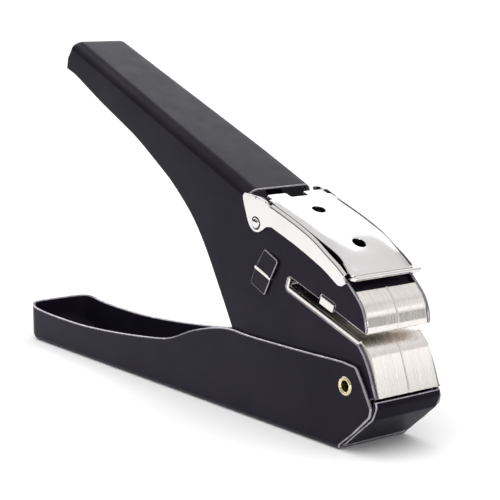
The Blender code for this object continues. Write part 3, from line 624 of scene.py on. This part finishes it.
def side_plate_outline():
    """Closed side view of one side plate, throat slot and die-tab notch included."""
    notch_low, notch_high = SLOT_HIGH_Q, JAW_Q + DIE_T + GAP
    reach = DIE_TAB_HALF + GAP
    slot = [(SLOT_MOUTH_LOW_P, SLOT_LOW_Q), (SLOT_END_P, SLOT_LOW_Q), (SLOT_END_P, SLOT_HIGH_Q),
            (PUNCH_P - reach, notch_low), (PUNCH_P - reach, notch_high),
            (PUNCH_P + reach, notch_high), (PUNCH_P + reach, notch_low),
            (SLOT_MOUTH_HIGH_P, SLOT_HIGH_Q)]
    slot = rounded([throat_point(p, q) for p, q in slot],
                   [0.0, 1.3, 1.3, 0.4, 0.8, 0.8, 0.4, 0.0], steps=5, closed=False)
    crest = []          # round the cover's hinge, below what the plate's rear corners sweep
    for degrees in range(CREST_FROM, CREST_TO + 1, 6):
        angle = math.radians(degrees)
        radius = HINGE_CREST_R + 0.2 * blend_step(degrees, 50.0, 85.0)
        radius += 1.1 * blend_step(degrees, CREST_TO - 8.0, CREST_TO)
        crest.append((COVER_PIN[0] + radius * math.cos(angle),
                      COVER_PIN[1] + radius * math.sin(angle)))
    lower = rounded(LOWER_EDGE + LOWER_NOSE[:1], [3.0, 8.0, 8.0, 8.0, 6.0, 1.5, 0.6, 0.0],
                    steps=5, closed=False)
    bend = [bend_start(a) for a in reversed(web_stations())]
    rear = rounded([bend[-1], (-78.9, 126.4), (-81.4, 123.4), UNDERSIDE[0], UNDERSIDE[1]],
                   [0.0, 4.0, 3.0, 1.6, 0.0], steps=5, closed=False)[1:-1]
    return (smooth_curve(UNDERSIDE, 5)[4:] + lower + smooth_curve(LOWER_NOSE, 3)[1:] + slot
            + smooth_curve(UPPER_NOSE, 4) + smooth_curve(HEAD_TOP, 3) + crest + bend + rear)


def frame_core(x, _, z):
    """Place below the web on the middle plane."""
    along, _ = on_slope(x, z)
    low_x, low_z = slope_point(along, handle_top(along) - 8.0)
    return low_x, 0.0, low_z


def frame_shell():
    """Folded channel: web with its bends, and both side plates."""
    patches = Patches()
    patches.grid([web_row(a) for a in web_stations()])
    hole = circle(PIVOT, RIVET_R + 0.15)
    for side in (-1.0, 1.0):
        def place(x, z, side=side):
            along, _ = on_slope(x, z)
            return x, side * handle_half(along), z

        patches.region(side_plate_outline(), place, 5.0, [hole])
    return sheet(patches, "frame_shell", FRAME_T, 0.45, frame_core)


LOUVER_ROOT = 0.4              # how far a tab reaches into the side plate
LOUVER_UPPER = [(52.4, 62.4), (60.8, 59.3), (56.8, 52.3), (47.6, 55.8)]
LOUVER_LOWER = [(47.3, 55.8), (56.4, 52.2), (53.1, 46.0), (43.9, 49.3)]


def louver(name, corners, heights, side):
    """Pressed tab standing off the side plate; heights are its corners' distances outwards."""
    outline = rounded(corners, 1.0, steps=4)
    a, b, _, d = (np.array(c) for c in corners)
    across, down = b - a, d - a
    matrix = np.linalg.inv(np.array([across, down]).T)

    def height(x, z):
        u, v = matrix @ (np.array((x, z)) - a)
        top = heights[0] * (1 - u) + heights[1] * u
        low = heights[3] * (1 - u) + heights[2] * u
        return top * (1 - v) + low * v

    verts = [(x, side * (FRAME_HALF - LOUVER_ROOT), z) for x, z in outline]
    verts += [(x, side * (FRAME_HALF + height(x, z)), z) for x, z in outline]
    count = len(outline)
    faces = [tuple(range(count)), tuple(range(count, 2 * count))]
    faces += [(i, (i + 1) % count, count + (i + 1) % count, count + i) for i in range(count)]
    return roll_edges(make_piece(name, verts, faces), 0.3)


def tab_edge(name, side):
    """Bare nickel edge of the inner sheet's tab where it comes through the side plate, which also
    stands in as a painted highlight for the bright line that the tab's step catches.
    """
    a, b = Vector(LOUVER_UPPER[3]), Vector(LOUVER_UPPER[2])
    along = (b - a).normalized()
    normal = Vector((-along.y, along.x))
    a, b = a + along * 0.3, b - along * 0.2
    outline = [a - normal * 0.6, b - normal * 0.6, b + normal * 0.6, a + normal * 0.6]
    outline = rounded([(p.x, p.y) for p in outline], 0.3, steps=3)
    return side_bar(name, outline, side, FRAME_HALF - LOUVER_ROOT, FRAME_HALF + 1.15)


# ---- throat, jaws and the works between them ----
def slot_rim(name, side):
    """Bare edge of the throat liner, standing in the slot along its closed end and lower side."""
    width, low = 1.15, SLOT_LOW_Q + 0.05
    rear = SLOT_END_P + 0.1
    corners = [(rear, SLOT_HIGH_Q - 0.3), (rear, low), (84.4, low), (84.4, low + width),
               (rear + width - 0.2, low + width), (rear + width - 0.2, SLOT_HIGH_Q - 0.3)]
    outline = rounded([throat_point(p, q) for p, q in corners], [0.3, 1.2, 0.3, 0.3, 0.5, 0.3],
                      steps=4)
    return side_bar(name, outline, side, INNER_HALF - 0.3, FRAME_HALF - 0.1)


def ridged_columns(half, ridge=0.35):
    """Positions across a jaw sheet, with its fine centre ridge: (y, rise)."""
    edge = [(-half + 2.0 * k, 0.0) for k in range(int(half // 2.0))]
    left = edge + [(-ridge * 1.6, 0.0), (-ridge, -0.05), (-ridge * 0.5, 0.08)]
    return left + [(0.0, 0.16)] + [(-y, rise) for y, rise in reversed(left)]


def jaw_rows(path, half, outward):
    """Outer surface of a jaw sheet; outward is 1 where that face lies left of the path, or -1."""
    columns = ridged_columns(half)
    risen = {rise: offset_path(path, outward * rise) for _, rise in columns}
    return [[(risen[rise][i][0], y, risen[rise][i][1]) for y, rise in columns]
            for i in range(len(path))]


def lower_jaw():
    """Lower jaw sheet from the closed end of the throat down to the chin, with its flanges.

    It is drawn without the CAD's hole for the punch.
    """
    rear = SLOT_END_P + 0.6
    corners = [throat_point(rear, 71.6), throat_point(rear, TABLE_Q), throat_point(83.0, TABLE_Q),
               (106.0, 35.2), (108.6, 28.2), (111.1, 20.9)]
    path = bent_line(corners, [0.0, 1.6, 6.0, 8.0, 30.0, 0.0], 3.0)
    bend, flange, half = 0.45, 3.6, INNER_HALF + 0.2
    folds = [(offset_path(path, bend * (math.cos(angle) - 1.0)),
              half - bend * (1.0 - math.sin(angle))) for angle in arc_angles(3)[1:]]
    folds.append((offset_path(path, -flange), half))
    rows = []
    for i, middle in enumerate(jaw_rows(path, half - bend, 1.0)):
        side = [(line[i][0], y, line[i][1]) for line, y in folds]
        rows.append([(x, -y, z) for x, y, z in reversed(side)] + middle + side)
    patches = Patches()
    patches.grid(rows)
    x, z = throat_point(40.0, 60.0)
    return sheet(patches, "lower_jaw", SHEET_T - 0.2, 0.2, lambda *_: (x, 0.0, z))


def upper_jaw():
    """Curved nickel sheet that closes the head's front and turns back as the upper jaw."""
    corners = [throat_point(75.6, JAW_Q), throat_point(86.3, JAW_Q), (105.1, 43.0), (104.3, 47.3),
               (102.5, 50.8), (98.9, 54.5)]
    path = bent_line(corners, [0.0, 1.2, 3.0, 9.0, 8.0, 0.0], 2.5)
    patches = Patches()
    patches.grid(jaw_rows(path, INNER_HALF + 0.2, -1.0))
    return sheet(patches, "upper_jaw", SHEET_T, 0.2, lambda x, y, z: (90.0, y, 54.0))


def head_shade_baffle():
    """Black plate behind the upper jaw, where the chips slide out, put there as painted shade: it
    darkens the opening under the lip and hides the works behind it.
    """
    path = resampled(rounded([(98.4, 52.6), (95.6, 55.6), (91.4, 58.2)], 3.0, closed=False), 1.5)
    half = INNER_HALF - 0.1
    patches = Patches()
    patches.grid([[(x, y, z) for y in np.linspace(-half, half, 9)] for x, z in path])
    return sheet(patches, "head_shade_baffle", 0.8, 0.15, lambda x, y, z: (90.0, y, 50.0))


def die_plate():
    """Die plate with the tabs that show through the side plates, and its punch hole."""
    patches = Patches()
    tab = FRAME_HALF + 0.5
    plan = [(DIE_REAR_P, -INNER_HALF), (PUNCH_P - DIE_TAB_HALF, -INNER_HALF),
            (PUNCH_P - DIE_TAB_HALF, -tab), (PUNCH_P + DIE_TAB_HALF, -tab),
            (PUNCH_P + DIE_TAB_HALF, -INNER_HALF), (DIE_FRONT_P, -INNER_HALF)]
    plan += [(p, -y) for p, y in reversed(plan)]

    def place(p, y):
        x, z = throat_point(p, JAW_Q)
        return x, y, z

    patches.region(plan, place, 4.0, [circle((PUNCH_P, 0.0), DIE_SEAT_R)])
    return sheet(patches, "die_plate_shell", DIE_T, 0.3,
                 lambda x, y, z: (x + PUNCH_DIR.x, y, z + PUNCH_DIR.z))


def return_spring():
    """Compression spring between the seat on the punch and the guide, drawn as a coiled wire."""
    wire_r, coil_r, turns, per_turn, around = 0.6, 4.7, 4.5, 28, 10
    low = SPRING_SEAT_TOP_Q + GAP + wire_r
    rise = GUIDE_LOW_Q - GAP - wire_r - low
    x, z = throat_point(PUNCH_P, low)
    side = PUNCH_DIR.cross(ACROSS).normalized()
    total = int(turns * per_turn)
    rows = []
    for k in range(total + 1):
        angle = 2.0 * math.pi * k / per_turn
        radial = side * math.cos(angle) + ACROSS * math.sin(angle)
        centre = Vector((x, 0.0, z)) + radial * coil_r + PUNCH_DIR * (rise * k / total)
        rows.append([centre + (radial * math.cos(turn) + PUNCH_DIR * math.sin(turn)) * wire_r
                     for turn in full_turn(around)])
    patches = Patches()
    patches.grid(rows)
    count = around + 1
    patches.faces += [tuple(range(around)), tuple(range(total * count, total * count + around))]
    return smooth_shaded(patches.build("return_spring_coil"), 50.0)


def compressed_by_punch(obj):
    """Gives the spring a mesh of its own; nothing here shortens it."""
    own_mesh(obj)


# ---- lever ----
RIM = [(-116.0, 15.6), (-112.6, 15.5), (-108.4, 14.6), (-103.0, 14.0), (-93.3, 13.6),
       (-73.7, 13.5), (-56.0, 14.3), (-34.5, 16.1), (-12.3, 18.7),
       (-3.5, 20.6), (3.9, 23.5), (11.4, 26.3), (24.3, 29.5), (34.1, 30.7), (45.3, 30.2),
       (73.3, 30.4), (94.1, 30.8), (102.1, 30.3), (112.0, 29.6)]
LEVER_REAR = RIM[0][0]
WALL_SPLIT = 88.0              # where the tray's rows end and the nose of the walls begins
WALL_ROWS, BEND_ROWS = 5, 7    # mesh rows down a wall and round the floor bend
NOSE_WALL = [(94.6, FLOOR_BEND), (102.0, 7.8), (109.2, 14.4), (109.8, 17.4), (105.6, 24.9),
             (102.1, 30.2)]


def rim_height(x):
    """Height of the lever's rim."""
    curve = smooth_curve(RIM, 6)
    return float(np.interp(x, [p[0] for p in curve], [p[1] for p in curve]))


def tray_stations():
    """Plan-view points round the tray, left front to right front: (x, y, inward, bend)."""
    corner = HEEL_CORNER
    out = [(x, -PAN_HALF, (0.0, 1.0), FLOOR_BEND)
           for x in np.linspace(WALL_SPLIT, LEVER_REAR + corner, 50)]
    for k in range(1, 13):
        angle = 0.5 * math.pi * k / 12
        inward = (math.sin(angle), math.cos(angle))
        bend = FLOOR_BEND + (corner - FLOOR_BEND) * blend_step(k / 12, 0.0, 1.0)
        out.append((LEVER_REAR + corner * (1.0 - math.sin(angle)),
                    -PAN_HALF + corner * (1.0 - math.cos(angle)), inward, bend))
    out += [(LEVER_REAR, y, (1.0, 0.0), corner) for y in (-3.8, 0.0)]
    return out + [(x, -y, (n[0], -n[1]), bend) for x, y, n, bend in reversed(out[:-1])]


def tray_column(station):
    """Points from the rim down the wall, round the floor bend and in to the middle line."""
    x, y, inward, bend = station
    rim = rim_height(x)
    column = []
    for k in range(WALL_ROWS):
        column.append((x, y, rim + (bend - rim) * k / WALL_ROWS))
    for angle in arc_angles(BEND_ROWS):
        step = bend * (1.0 - math.cos(angle))
        column.append((x + inward[0] * step, y + inward[1] * step,
                       bend * (1.0 - math.sin(angle))))
    start = column[-1]
    middle = (max(start[0], LEVER_REAR + HEEL_CORNER + 4.0), 0.0)
    for k in range(1, 4):
        t = k / 3
        column.append((start[0] + (middle[0] - start[0]) * t, start[1] * (1.0 - t), 0.0))
    return column


def lever_tray():
    """Pressed tray: flat floor, side walls, rounded heel and the walls' bare nose."""
    patches = Patches()
    patches.grid([tray_column(s) for s in tray_stations()])
    for side in (-1.0, 1.0):
        bent = []
        for x in (WALL_SPLIT, 90.0, 92.0, None):
            column = tray_column((x or 0.0, side * PAN_HALF, (0.0, -side), FLOOR_BEND))
            bent.append([((p[0] if x else 93.6 + 0.5 * p[2]), p[1], p[2])
                         for p in column[WALL_ROWS:]])
        patches.grid(bent)
        rim = rim_height(WALL_SPLIT)
        edge = [(WALL_SPLIT, rim + (FLOOR_BEND - rim) * k / WALL_ROWS)
                for k in range(WALL_ROWS + 1)]
        bottom = [(90.0, FLOOR_BEND), (92.0, FLOOR_BEND)]
        nose = rounded([(92.0, FLOOR_BEND)] + NOSE_WALL + [(96.0, rim_height(96.0))],
                       [0.0, 0.0, 6.0, 2.2, 1.6, 10.0, 2.4, 0.0], steps=6, closed=False)
        top = [(x, rim_height(x)) for x in (94.0, 92.0, 90.0)]
        outline = edge + bottom + nose[1:] + top

        def place(x, z, side=side):
            return x, side * PAN_HALF, z

        patches.region(outline, place, 4.0, [circle(PIVOT, RIVET_R + 0.2)])
    return sheet(patches, "lever_tray", PAN_T, 0.5,
                 lambda x, y, z: (max(x, LEVER_REAR + 12.0), 0.0, 9.0))


def nose_guard():
    """Folded plate that closes the lever's nose below the jaw."""
    low = 1.5
    corners = [(84.0, low), (95.2, low), (109.3, 13.3), (111.2, 17.6), (110.9, 19.8)]
    crown = 0.22
    patches = Patches()
    rows = []
    for x, z in bent_line(corners, [0.0, 4.0, 3.0, 2.5, 0.0], 2.0):
        lift = crown * blend_step(x, 95.0, 104.0)
        rows.append([(x - lift * (y / FRAME_HALF) ** 2, y, z)
                     for y in np.linspace(-FRAME_HALF, FRAME_HALF, 13)])
    patches.grid(rows)
    return sheet(patches, "nose_guard_shell", 1.4, 0.4, lambda x, y, z: (90.0, y, 30.0))


def hollow_rivet():
    """Hollow rivet with a rolled rim on both sides of the lever."""
    reach = PAN_HALF + 0.1
    mid_r, half_r = 0.5 * (RIVET_RIM_R + RIVET_BORE_R), 0.5 * (RIVET_RIM_R - RIVET_BORE_R)
    far = [(mid_r + half_r * math.cos(angle), reach + 0.5 * math.sin(angle))
           for angle in arc_angles(10, math.pi)]
    return turned("hollow_rivet", PIVOT, [(RIVET_R, reach)] + far, hollow=True)


# ---- chip cover ----
COVER_LINE = [(50.6, 81.0), (55.0, 79.6), (62.4, 77.1), (69.5, 74.6), (76.1, 72.0), (81.5, 69.7),
              (86.5, 67.2), (91.0, 64.5), (94.4, 61.9), (96.6, 60.0)]
LIP_LINE = [(98.0, 59.2), (99.2, 59.3), (100.2, 59.9)]
LIP_UNDERSIDE = [(100.7, 59.0), (99.8, 58.0), (97.6, 57.9)]
FLANGE_LOW = [(42.0, 80.2), (42.3, 78.8), (44.0, 71.6), (45.0, 69.4), (47.4, 68.0), (49.8, 68.0),
              (52.2, 69.1), (54.4, 70.5), (57.3, 70.7), (69.0, 66.7), (75.5, 64.2), (80.5, 62.1),
              (84.2, 60.5), (87.2, 58.9), (90.6, 56.8), (92.4, 55.8), (94.4, 55.8), (96.4, 57.0)]
COVER_HOLES = [64.2, 85.4]
COVER_REAR, COVER_NOTCH, COVER_SHOULDER, COVER_FRONT = 50.6, 53.8, 54.0, 97.4
NOTCH_HALF, TAB_HALF = 3.9, 12.4   # the rear tabs lie between these distances from the middle
SHOULDER_R = 1.1               # bend between a flange and its shoulder
SHOULDER_START = 57.0
WAIST_X, WAIST_DEPTH = 90.5, 1.1   # where the plate's sides draw in, and by how much


class Rail:
    """A side-view line walked by its own length."""

    def __init__(self, points):
        self.points = [Vector(p) for p in points]
        self.lengths = [0.0]
        for a, b in zip(self.points, self.points[1:]):
            self.lengths.append(self.lengths[-1] + (b - a).length)

    def length_at(self, x):
        """Length walked when the line reaches x."""
        return float(np.interp(x, [p.x for p in self.points], self.lengths))

    def at(self, length):
        """Place and upward normal at a length."""
        i = int(np.clip(np.searchsorted(self.lengths, length) - 1, 0, len(self.points) - 2))
        span = self.points[i + 1] - self.points[i]
        t = (length - self.lengths[i]) / span.length
        before = self.points[max(i - 1, 0)]
        after = self.points[min(i + 2, len(self.points) - 1)]
        smooth = (after - before).normalized()
        return self.points[i] + span * t, Vector((-smooth.y, smooth.x))


def cover_plate():
    """Curved top plate: rear tabs, two round windows, a shallow dent and crowned sides."""
    rail = Rail(smooth_curve(COVER_LINE + LIP_LINE[:1], 8))
    half = COVER_HALF - 1.7
    rear, notch, shoulder, front = (
        rail.length_at(x) for x in (COVER_REAR, COVER_NOTCH, COVER_SHOULDER, COVER_FRONT))
    waist = rail.length_at(WAIST_X)
    outline = [(notch, -NOTCH_HALF), (rear, -NOTCH_HALF), (rear, -TAB_HALF),
               (shoulder, -TAB_HALF), (shoulder, -half), (front, -half)]
    outline += [(s, -y) for s, y in reversed(outline)]
    radii = [0.5, 0.7, 0.7, 0.4, 0.5, 0.3]
    outline = subdivided(rounded(outline, radii + radii[::-1], steps=4), 1.6)
    outline = [(s, y * (1.0 - WAIST_DEPTH * math.exp(-((s - waist) / 7.0) ** 2) / half)
                if abs(y) > half - 0.3 else y) for s, y in outline]
    windows = [circle((rail.length_at(x), 0.0), 2.5, 40) for x in COVER_HOLES]
    dent = rail.length_at(COVER_HOLES[1] + 1.0)

    def place(s, y):
        point, normal = rail.at(min(max(s, 0.0), front))
        crown = 0.04 * abs(y / half) ** 2 + 0.45 * abs(y / half) ** 10
        crown *= 0.25 + 0.75 * blend_step(s, shoulder, shoulder + 6.0)
        hollow = 0.28 * math.exp(-((s - dent) / 5.5) ** 2 - (y / 6.5) ** 2)
        moved = point - normal * (crown + hollow)
        return moved.x, y, moved.y

    patches = Patches()
    patches.region(outline, place, 1.2, windows)
    return sheet(patches, "cover_top", COVER_T, 0.16, lambda x, y, z: (60.0, y, 40.0))


def cover_lip():
    """Hemmed finger lip, a little wider than the plate."""
    outline = rounded([(96.4, 58.9), (97.7, 58.5)] + LIP_LINE + LIP_UNDERSIDE, 0.4, steps=4)
    half = COVER_HALF - 1.0
    return roll_edges(extrusion("cover_lip", outline, -half, half, 4), 0.3)


def flange_low_line():
    """Lower edge of a flange, from the ear round the hinge to the tip."""
    hinge = rounded(FLANGE_LOW[:9], [0.8, 1.5, 4.0] + [3.0] * 5 + [6.0], steps=4, closed=False)
    tip = rounded(FLANGE_LOW[8:], [0.0] * 6 + [1.2, 1.6, 1.4, 0.0], steps=4, closed=False)
    return hinge + tip[1:]


def shoulder_line(drop, count=34):
    """Line below the cover plate's face, dropping furthest behind its front end."""
    rail = Rail(smooth_curve(COVER_LINE, 8))
    start, finish = rail.length_at(SHOULDER_START), rail.length_at(96.2)
    out = []
    for length in np.linspace(start, finish, count + 1):
        point, normal = rail.at(length)
        crescent = 0.75 * math.exp(-((point.x - 88.0) / 6.5) ** 2)
        moved = point - normal * (drop + crescent)
        out.append((moved.x, moved.y))
    return out


def ear_flare(x, z):
    """Sideways flare of an ear: a cone that opens upwards, rounded off at its rear and top."""
    rear = share(x, 57.5, 45.5)
    high = share(z, 69.5, 81.0)
    round_off = 0.5 * max(0.0, (46.0 - x) / 4.0) ** 2 + 0.45 * max(0.0, (z - 78.2) / 2.8) ** 2
    return max(0.0, 1.5 * math.sin(QUARTER * rear) ** 1.5 * high ** 1.2
               - round_off * high)


def cover_flanges():
    """Both flanges with their ears and rolled shoulders."""
    patches = Patches()
    bend_top = shoulder_line(0.4 + SHOULDER_R)
    ear_top = rounded([bend_top[0], (54.6, 79.4), (50.0, 80.9), (46.4, 81.3), (43.4, 81.3),
                       (42.4, 81.2), FLANGE_LOW[0]],
                      [0.0, 3.0, 5.0, 4.0, 3.0, 0.9, 0.0], steps=4, closed=False)[1:-1]
    outline = subdivided(flange_low_line() + bend_top[::-1] + ear_top, 2.0)
    pin_hole = circle(COVER_PIN, 2.35, 32)
    for side in (-1.0, 1.0):
        def place(x, z, side=side):
            return x, side * (COVER_HALF + ear_flare(x, z)), z

        patches.region(outline, place, 1.6, [pin_hole])
        rows = []
        for (x0, z0), (x1, z1) in zip(bend_top, shoulder_line(0.4)):
            row = []
            for angle in arc_angles(6):
                rise = math.sin(angle)
                y = COVER_HALF + ear_flare(x0, z0) - SHOULDER_R * (1.0 - math.cos(angle))
                row.append((x0 + (x1 - x0) * rise, side * y, z0 + (z1 - z0) * rise))
            rows.append(row)
        patches.grid(rows)
    return sheet(patches, "cover_shell", COVER_T, 0.15, lambda x, y, z: (x, 0.0, z - 8.0))


def cover_straps():
    """Cross straps under the plate that tie the flanges together, front and rear."""
    line = Rail(smooth_curve(COVER_LINE, 8))
    patches = Patches()
    half = COVER_HALF - 1.3
    for low_x, high_x in ((57.5, 61.0), (91.8, 95.4)):
        rows = []
        for length in np.linspace(line.length_at(low_x), line.length_at(high_x), 5):
            point, normal = line.at(length)
            moved = point - normal * 1.7
            rows.append([(moved.x, y, moved.y) for y in np.linspace(-half, half, 7)])
        patches.grid(rows)
    return sheet(patches, "cover_straps", 0.7, 0.15, lambda x, y, z: (60.0, y, 40.0))


def cover_pin():
    """Hinge pin with domed heads standing in the ears' holes."""
    reach, shank_r, head_r = COVER_HALF + 0.25, 1.6, 1.9
    seat = reach - 0.6
    dome = [(head_r * math.cos(angle), reach + 0.7 * math.sin(angle)) for angle in arc_angles(6)]
    dome[-1] = (0.0, dome[-1][1])
    far = [(shank_r, seat), (head_r, seat)] + dome
    return turned("cover_pin_domed", COVER_PIN, far, segments=40)


# ---- stage ----
MIDDLE = Vector((0.02735, 0.0, 0.0566))        # what the camera and the lights look at
CAMERA_AZIMUTH, CAMERA_ELEVATION = 52.35, 9.99
CAMERA_DISTANCE, CAMERA_LENS = 0.5618, 109.37  # metres; millimetres


def from_direction(azimuth, elevation):
    """Unit vector towards a direction; azimuth is counted from -Y towards +X, in degrees."""
    turn, rise = math.radians(azimuth), math.radians(elevation)
    return Vector((math.sin(turn) * math.cos(rise), -math.cos(turn) * math.cos(rise),
                   math.sin(rise)))


def look_back(obj, direction):
    """Turns a light or the camera so that it looks against the direction."""
    obj.rotation_euler = direction.to_track_quat("Z", "Y").to_euler()


SOFTBOXES = [                  # name, azimuth, elevation, distance, width and height, radiance
    ("softbox_back", -143.0, 33.0, 1.1, (0.9, 0.50), 1.3),
    ("softbox_right", 133.0, 43.0, 1.0, (0.75, 0.55), 0.15),
    ("softbox_low", 133.0, 15.4, 1.0, (1.5, 0.30), 1.15),
    ("strip_left", -83.0, 34.0, 1.0, (0.30, 0.6), 5.0),
    ("strip_front", 60.0, 3.5, 1.0, (0.30, 0.12), 16.0),
]


def softbox(name, azimuth, elevation, distance, size, radiance):
    """Rectangular light of an even brightness, aimed at the middle of the object.

    It only makes the gloss: the overhead fill lights the floor and the dull surfaces.
    """
    data = bpy.data.lights.new(name, "AREA")
    data.shape = "RECTANGLE"
    data.size, data.size_y = size
    data.energy = radiance * math.pi * size[0] * size[1]
    light = scene_object(name, data)
    direction = from_direction(azimuth, elevation)
    light.location = MIDDLE + direction * distance
    look_back(light, direction)
    light.visible_diffuse = False


def overhead_fill(strength):
    """Wide sky light for the floor and the dull surfaces, without a mirror image of its own."""
    data = bpy.data.lights.new("overhead_fill", "SUN")
    data.energy = strength
    data.angle = math.radians(150.0)
    light = scene_object("overhead_fill", data)
    look_back(light, from_direction(25.0, 58.0))
    light.visible_glossy = False


def studio_world():
    """Room that the metal mirrors, dark walls and a pale ceiling; the camera sees plain white."""
    world = bpy.data.worlds.new("studio")
    world.use_nodes = True
    tree = world.node_tree
    coordinates = tree.nodes.new("ShaderNodeTexCoord")
    parts = tree.nodes.new("ShaderNodeSeparateXYZ")
    tree.links.new(coordinates.outputs["Generated"], parts.inputs["Vector"])
    node = tree.nodes.new("ShaderNodeValToRGB")
    shades = node.color_ramp.elements
    shades[0].position, shades[0].color = 0.004, (1.1, 1.1, 1.1, 1.0)
    shades[1].position, shades[1].color = 0.72, (0.92, 0.92, 0.93, 1.0)
    for position in (0.010, 0.17):
        shades.new(position).color = (0.04, 0.04, 0.04, 1.0)
    tree.links.new(parts.outputs["Z"], node.inputs["Fac"])
    seen = tree.nodes.new("ShaderNodeLightPath")
    backdrop = tree.nodes.new("ShaderNodeMix")
    backdrop.data_type = "RGBA"
    sockets = {(i.name, i.type): i for i in backdrop.inputs}
    sockets[("B", "RGBA")].default_value = (1.0, 1.0, 1.0, 1.0)
    tree.links.new(seen.outputs["Is Camera Ray"], sockets[("Factor", "VALUE")])
    tree.links.new(node.outputs["Color"], sockets[("A", "RGBA")])
    result = next(o for o in backdrop.outputs if o.type == "RGBA")
    tree.links.new(result, tree.nodes["Background"].inputs["Color"])
    bpy.context.scene.world = world


def pale_floor():
    """Seamless white floor, wide enough to reach the horizon."""
    size, z = 60.0, -0.0002
    mesh = bpy.data.meshes.new("floor")
    mesh.from_pydata([(-size, -size, z), (size, -size, z), (size, size, z), (-size, size, z)], [],
                     [(0, 1, 2, 3)])
    mesh.materials.append(floor_paper())
    scene_object("floor", mesh)


def build_camera():
    """Camera at the front left, a little above the object."""
    back = from_direction(CAMERA_AZIMUTH, CAMERA_ELEVATION)
    data = bpy.data.cameras.new("camera")
    data.sensor_width = 36.0
    data.lens = CAMERA_LENS
    camera = scene_object("camera", data)
    camera.location = MIDDLE + back * CAMERA_DISTANCE
    look_back(camera, back)
    bpy.context.scene.camera = camera


def build_stage():
    """Floor, room, lights and camera."""
    bpy.context.scene.view_settings.view_transform = "Standard"
    pale_floor()
    studio_world()
    overhead_fill(2.85)
    for box in SOFTBOXES:
        softbox(*box)
    build_camera()


# ---- assembly ----
def carry_over(node, material):
    """A CAD node that stays, with a better finish."""
    obj = frame["nodes"][node]
    obj.data.materials.clear()
    obj.data.materials.append(material)


def main():
    """Builds every piece and the stage."""
    # the rolled edges of the painted pieces get the worn coat, lightened as a painted highlight
    paint, edge, bright, nickel = black_paint(), worn_edge_with_highlight(), chrome(), brushed_nickel()
    brass, steel = pale_brass(), tool_steel()

    painted(frame_shell(), paint, edge, "frame", "main_frame")
    for side, word in ((-1.0, "left"), (1.0, "right")):
        for place, corners, heights in (("upper", LOUVER_UPPER, (0.3, 1.0, 1.2, 0.4)),
                                        ("lower", LOUVER_LOWER, (0.2, 0.9, 1.0, 0.0))):
            tab = louver(f"louver_{place}_{word}", corners, heights, side)
            painted(tab, paint, edge, "frame")
        finish_piece(tab_edge(f"tab_edge_{word}", side), nickel, "nickel", "frame")
        finish_piece(slot_rim(f"slot_rim_{word}", side), nickel, "nickel", "frame")
    finish_piece(lower_jaw(), nickel, "nickel", "frame", "throat_liner")
    finish_piece(upper_jaw(), nickel, "nickel", "frame", "upper_nose_plate")
    # black plate behind the jaw: painted shade for the opening under the lip
    finish_piece(head_shade_baffle(), paint, "black_paint", "frame")
    finish_piece(die_plate(), nickel, "nickel", "frame", "die_plate")
    spring = finish_piece(return_spring(), steel, "tool_steel", "frame", "return_spring")
    compressed_by_punch(spring)
    finish_piece(cover_pin(), bright, "chrome", "frame", "cover_pin")
    finish_piece(cover_plate(), bright, "chrome", "cover", "cover_plate")
    finish_piece(cover_lip(), bright, "chrome", "cover")
    finish_piece(cover_flanges(), bright, "chrome", "cover", "cover_frame")
    finish_piece(cover_straps(), bright, "chrome", "cover")
    painted(lever_tray(), paint, edge, "lever", "lever_pan")
    # the guard gets a copy of the paint with less gloss, as painted shade for the shadowed floor
    # it mirrors
    painted(nose_guard(), black_paint("black_paint_shaded_dull", 0.03), edge, "lever", "nose_guard")
    finish_piece(hollow_rivet(), brass, "rivet_brass", "lever", "pivot_rivet")

    for node in ("chip_chute", "cover_spring"):
        carry_over(node, paint)
    works = ["punch", "punch_collar", "spring_seat", "punch_guide", "pivot_sleeve", "die_bush",
             "drive_bracket", "drive_pin"]
    for node in works + [f"floor_rivet_{k}" for k in range(1, 5)]:
        carry_over(node, steel)
    build_stage()


main()
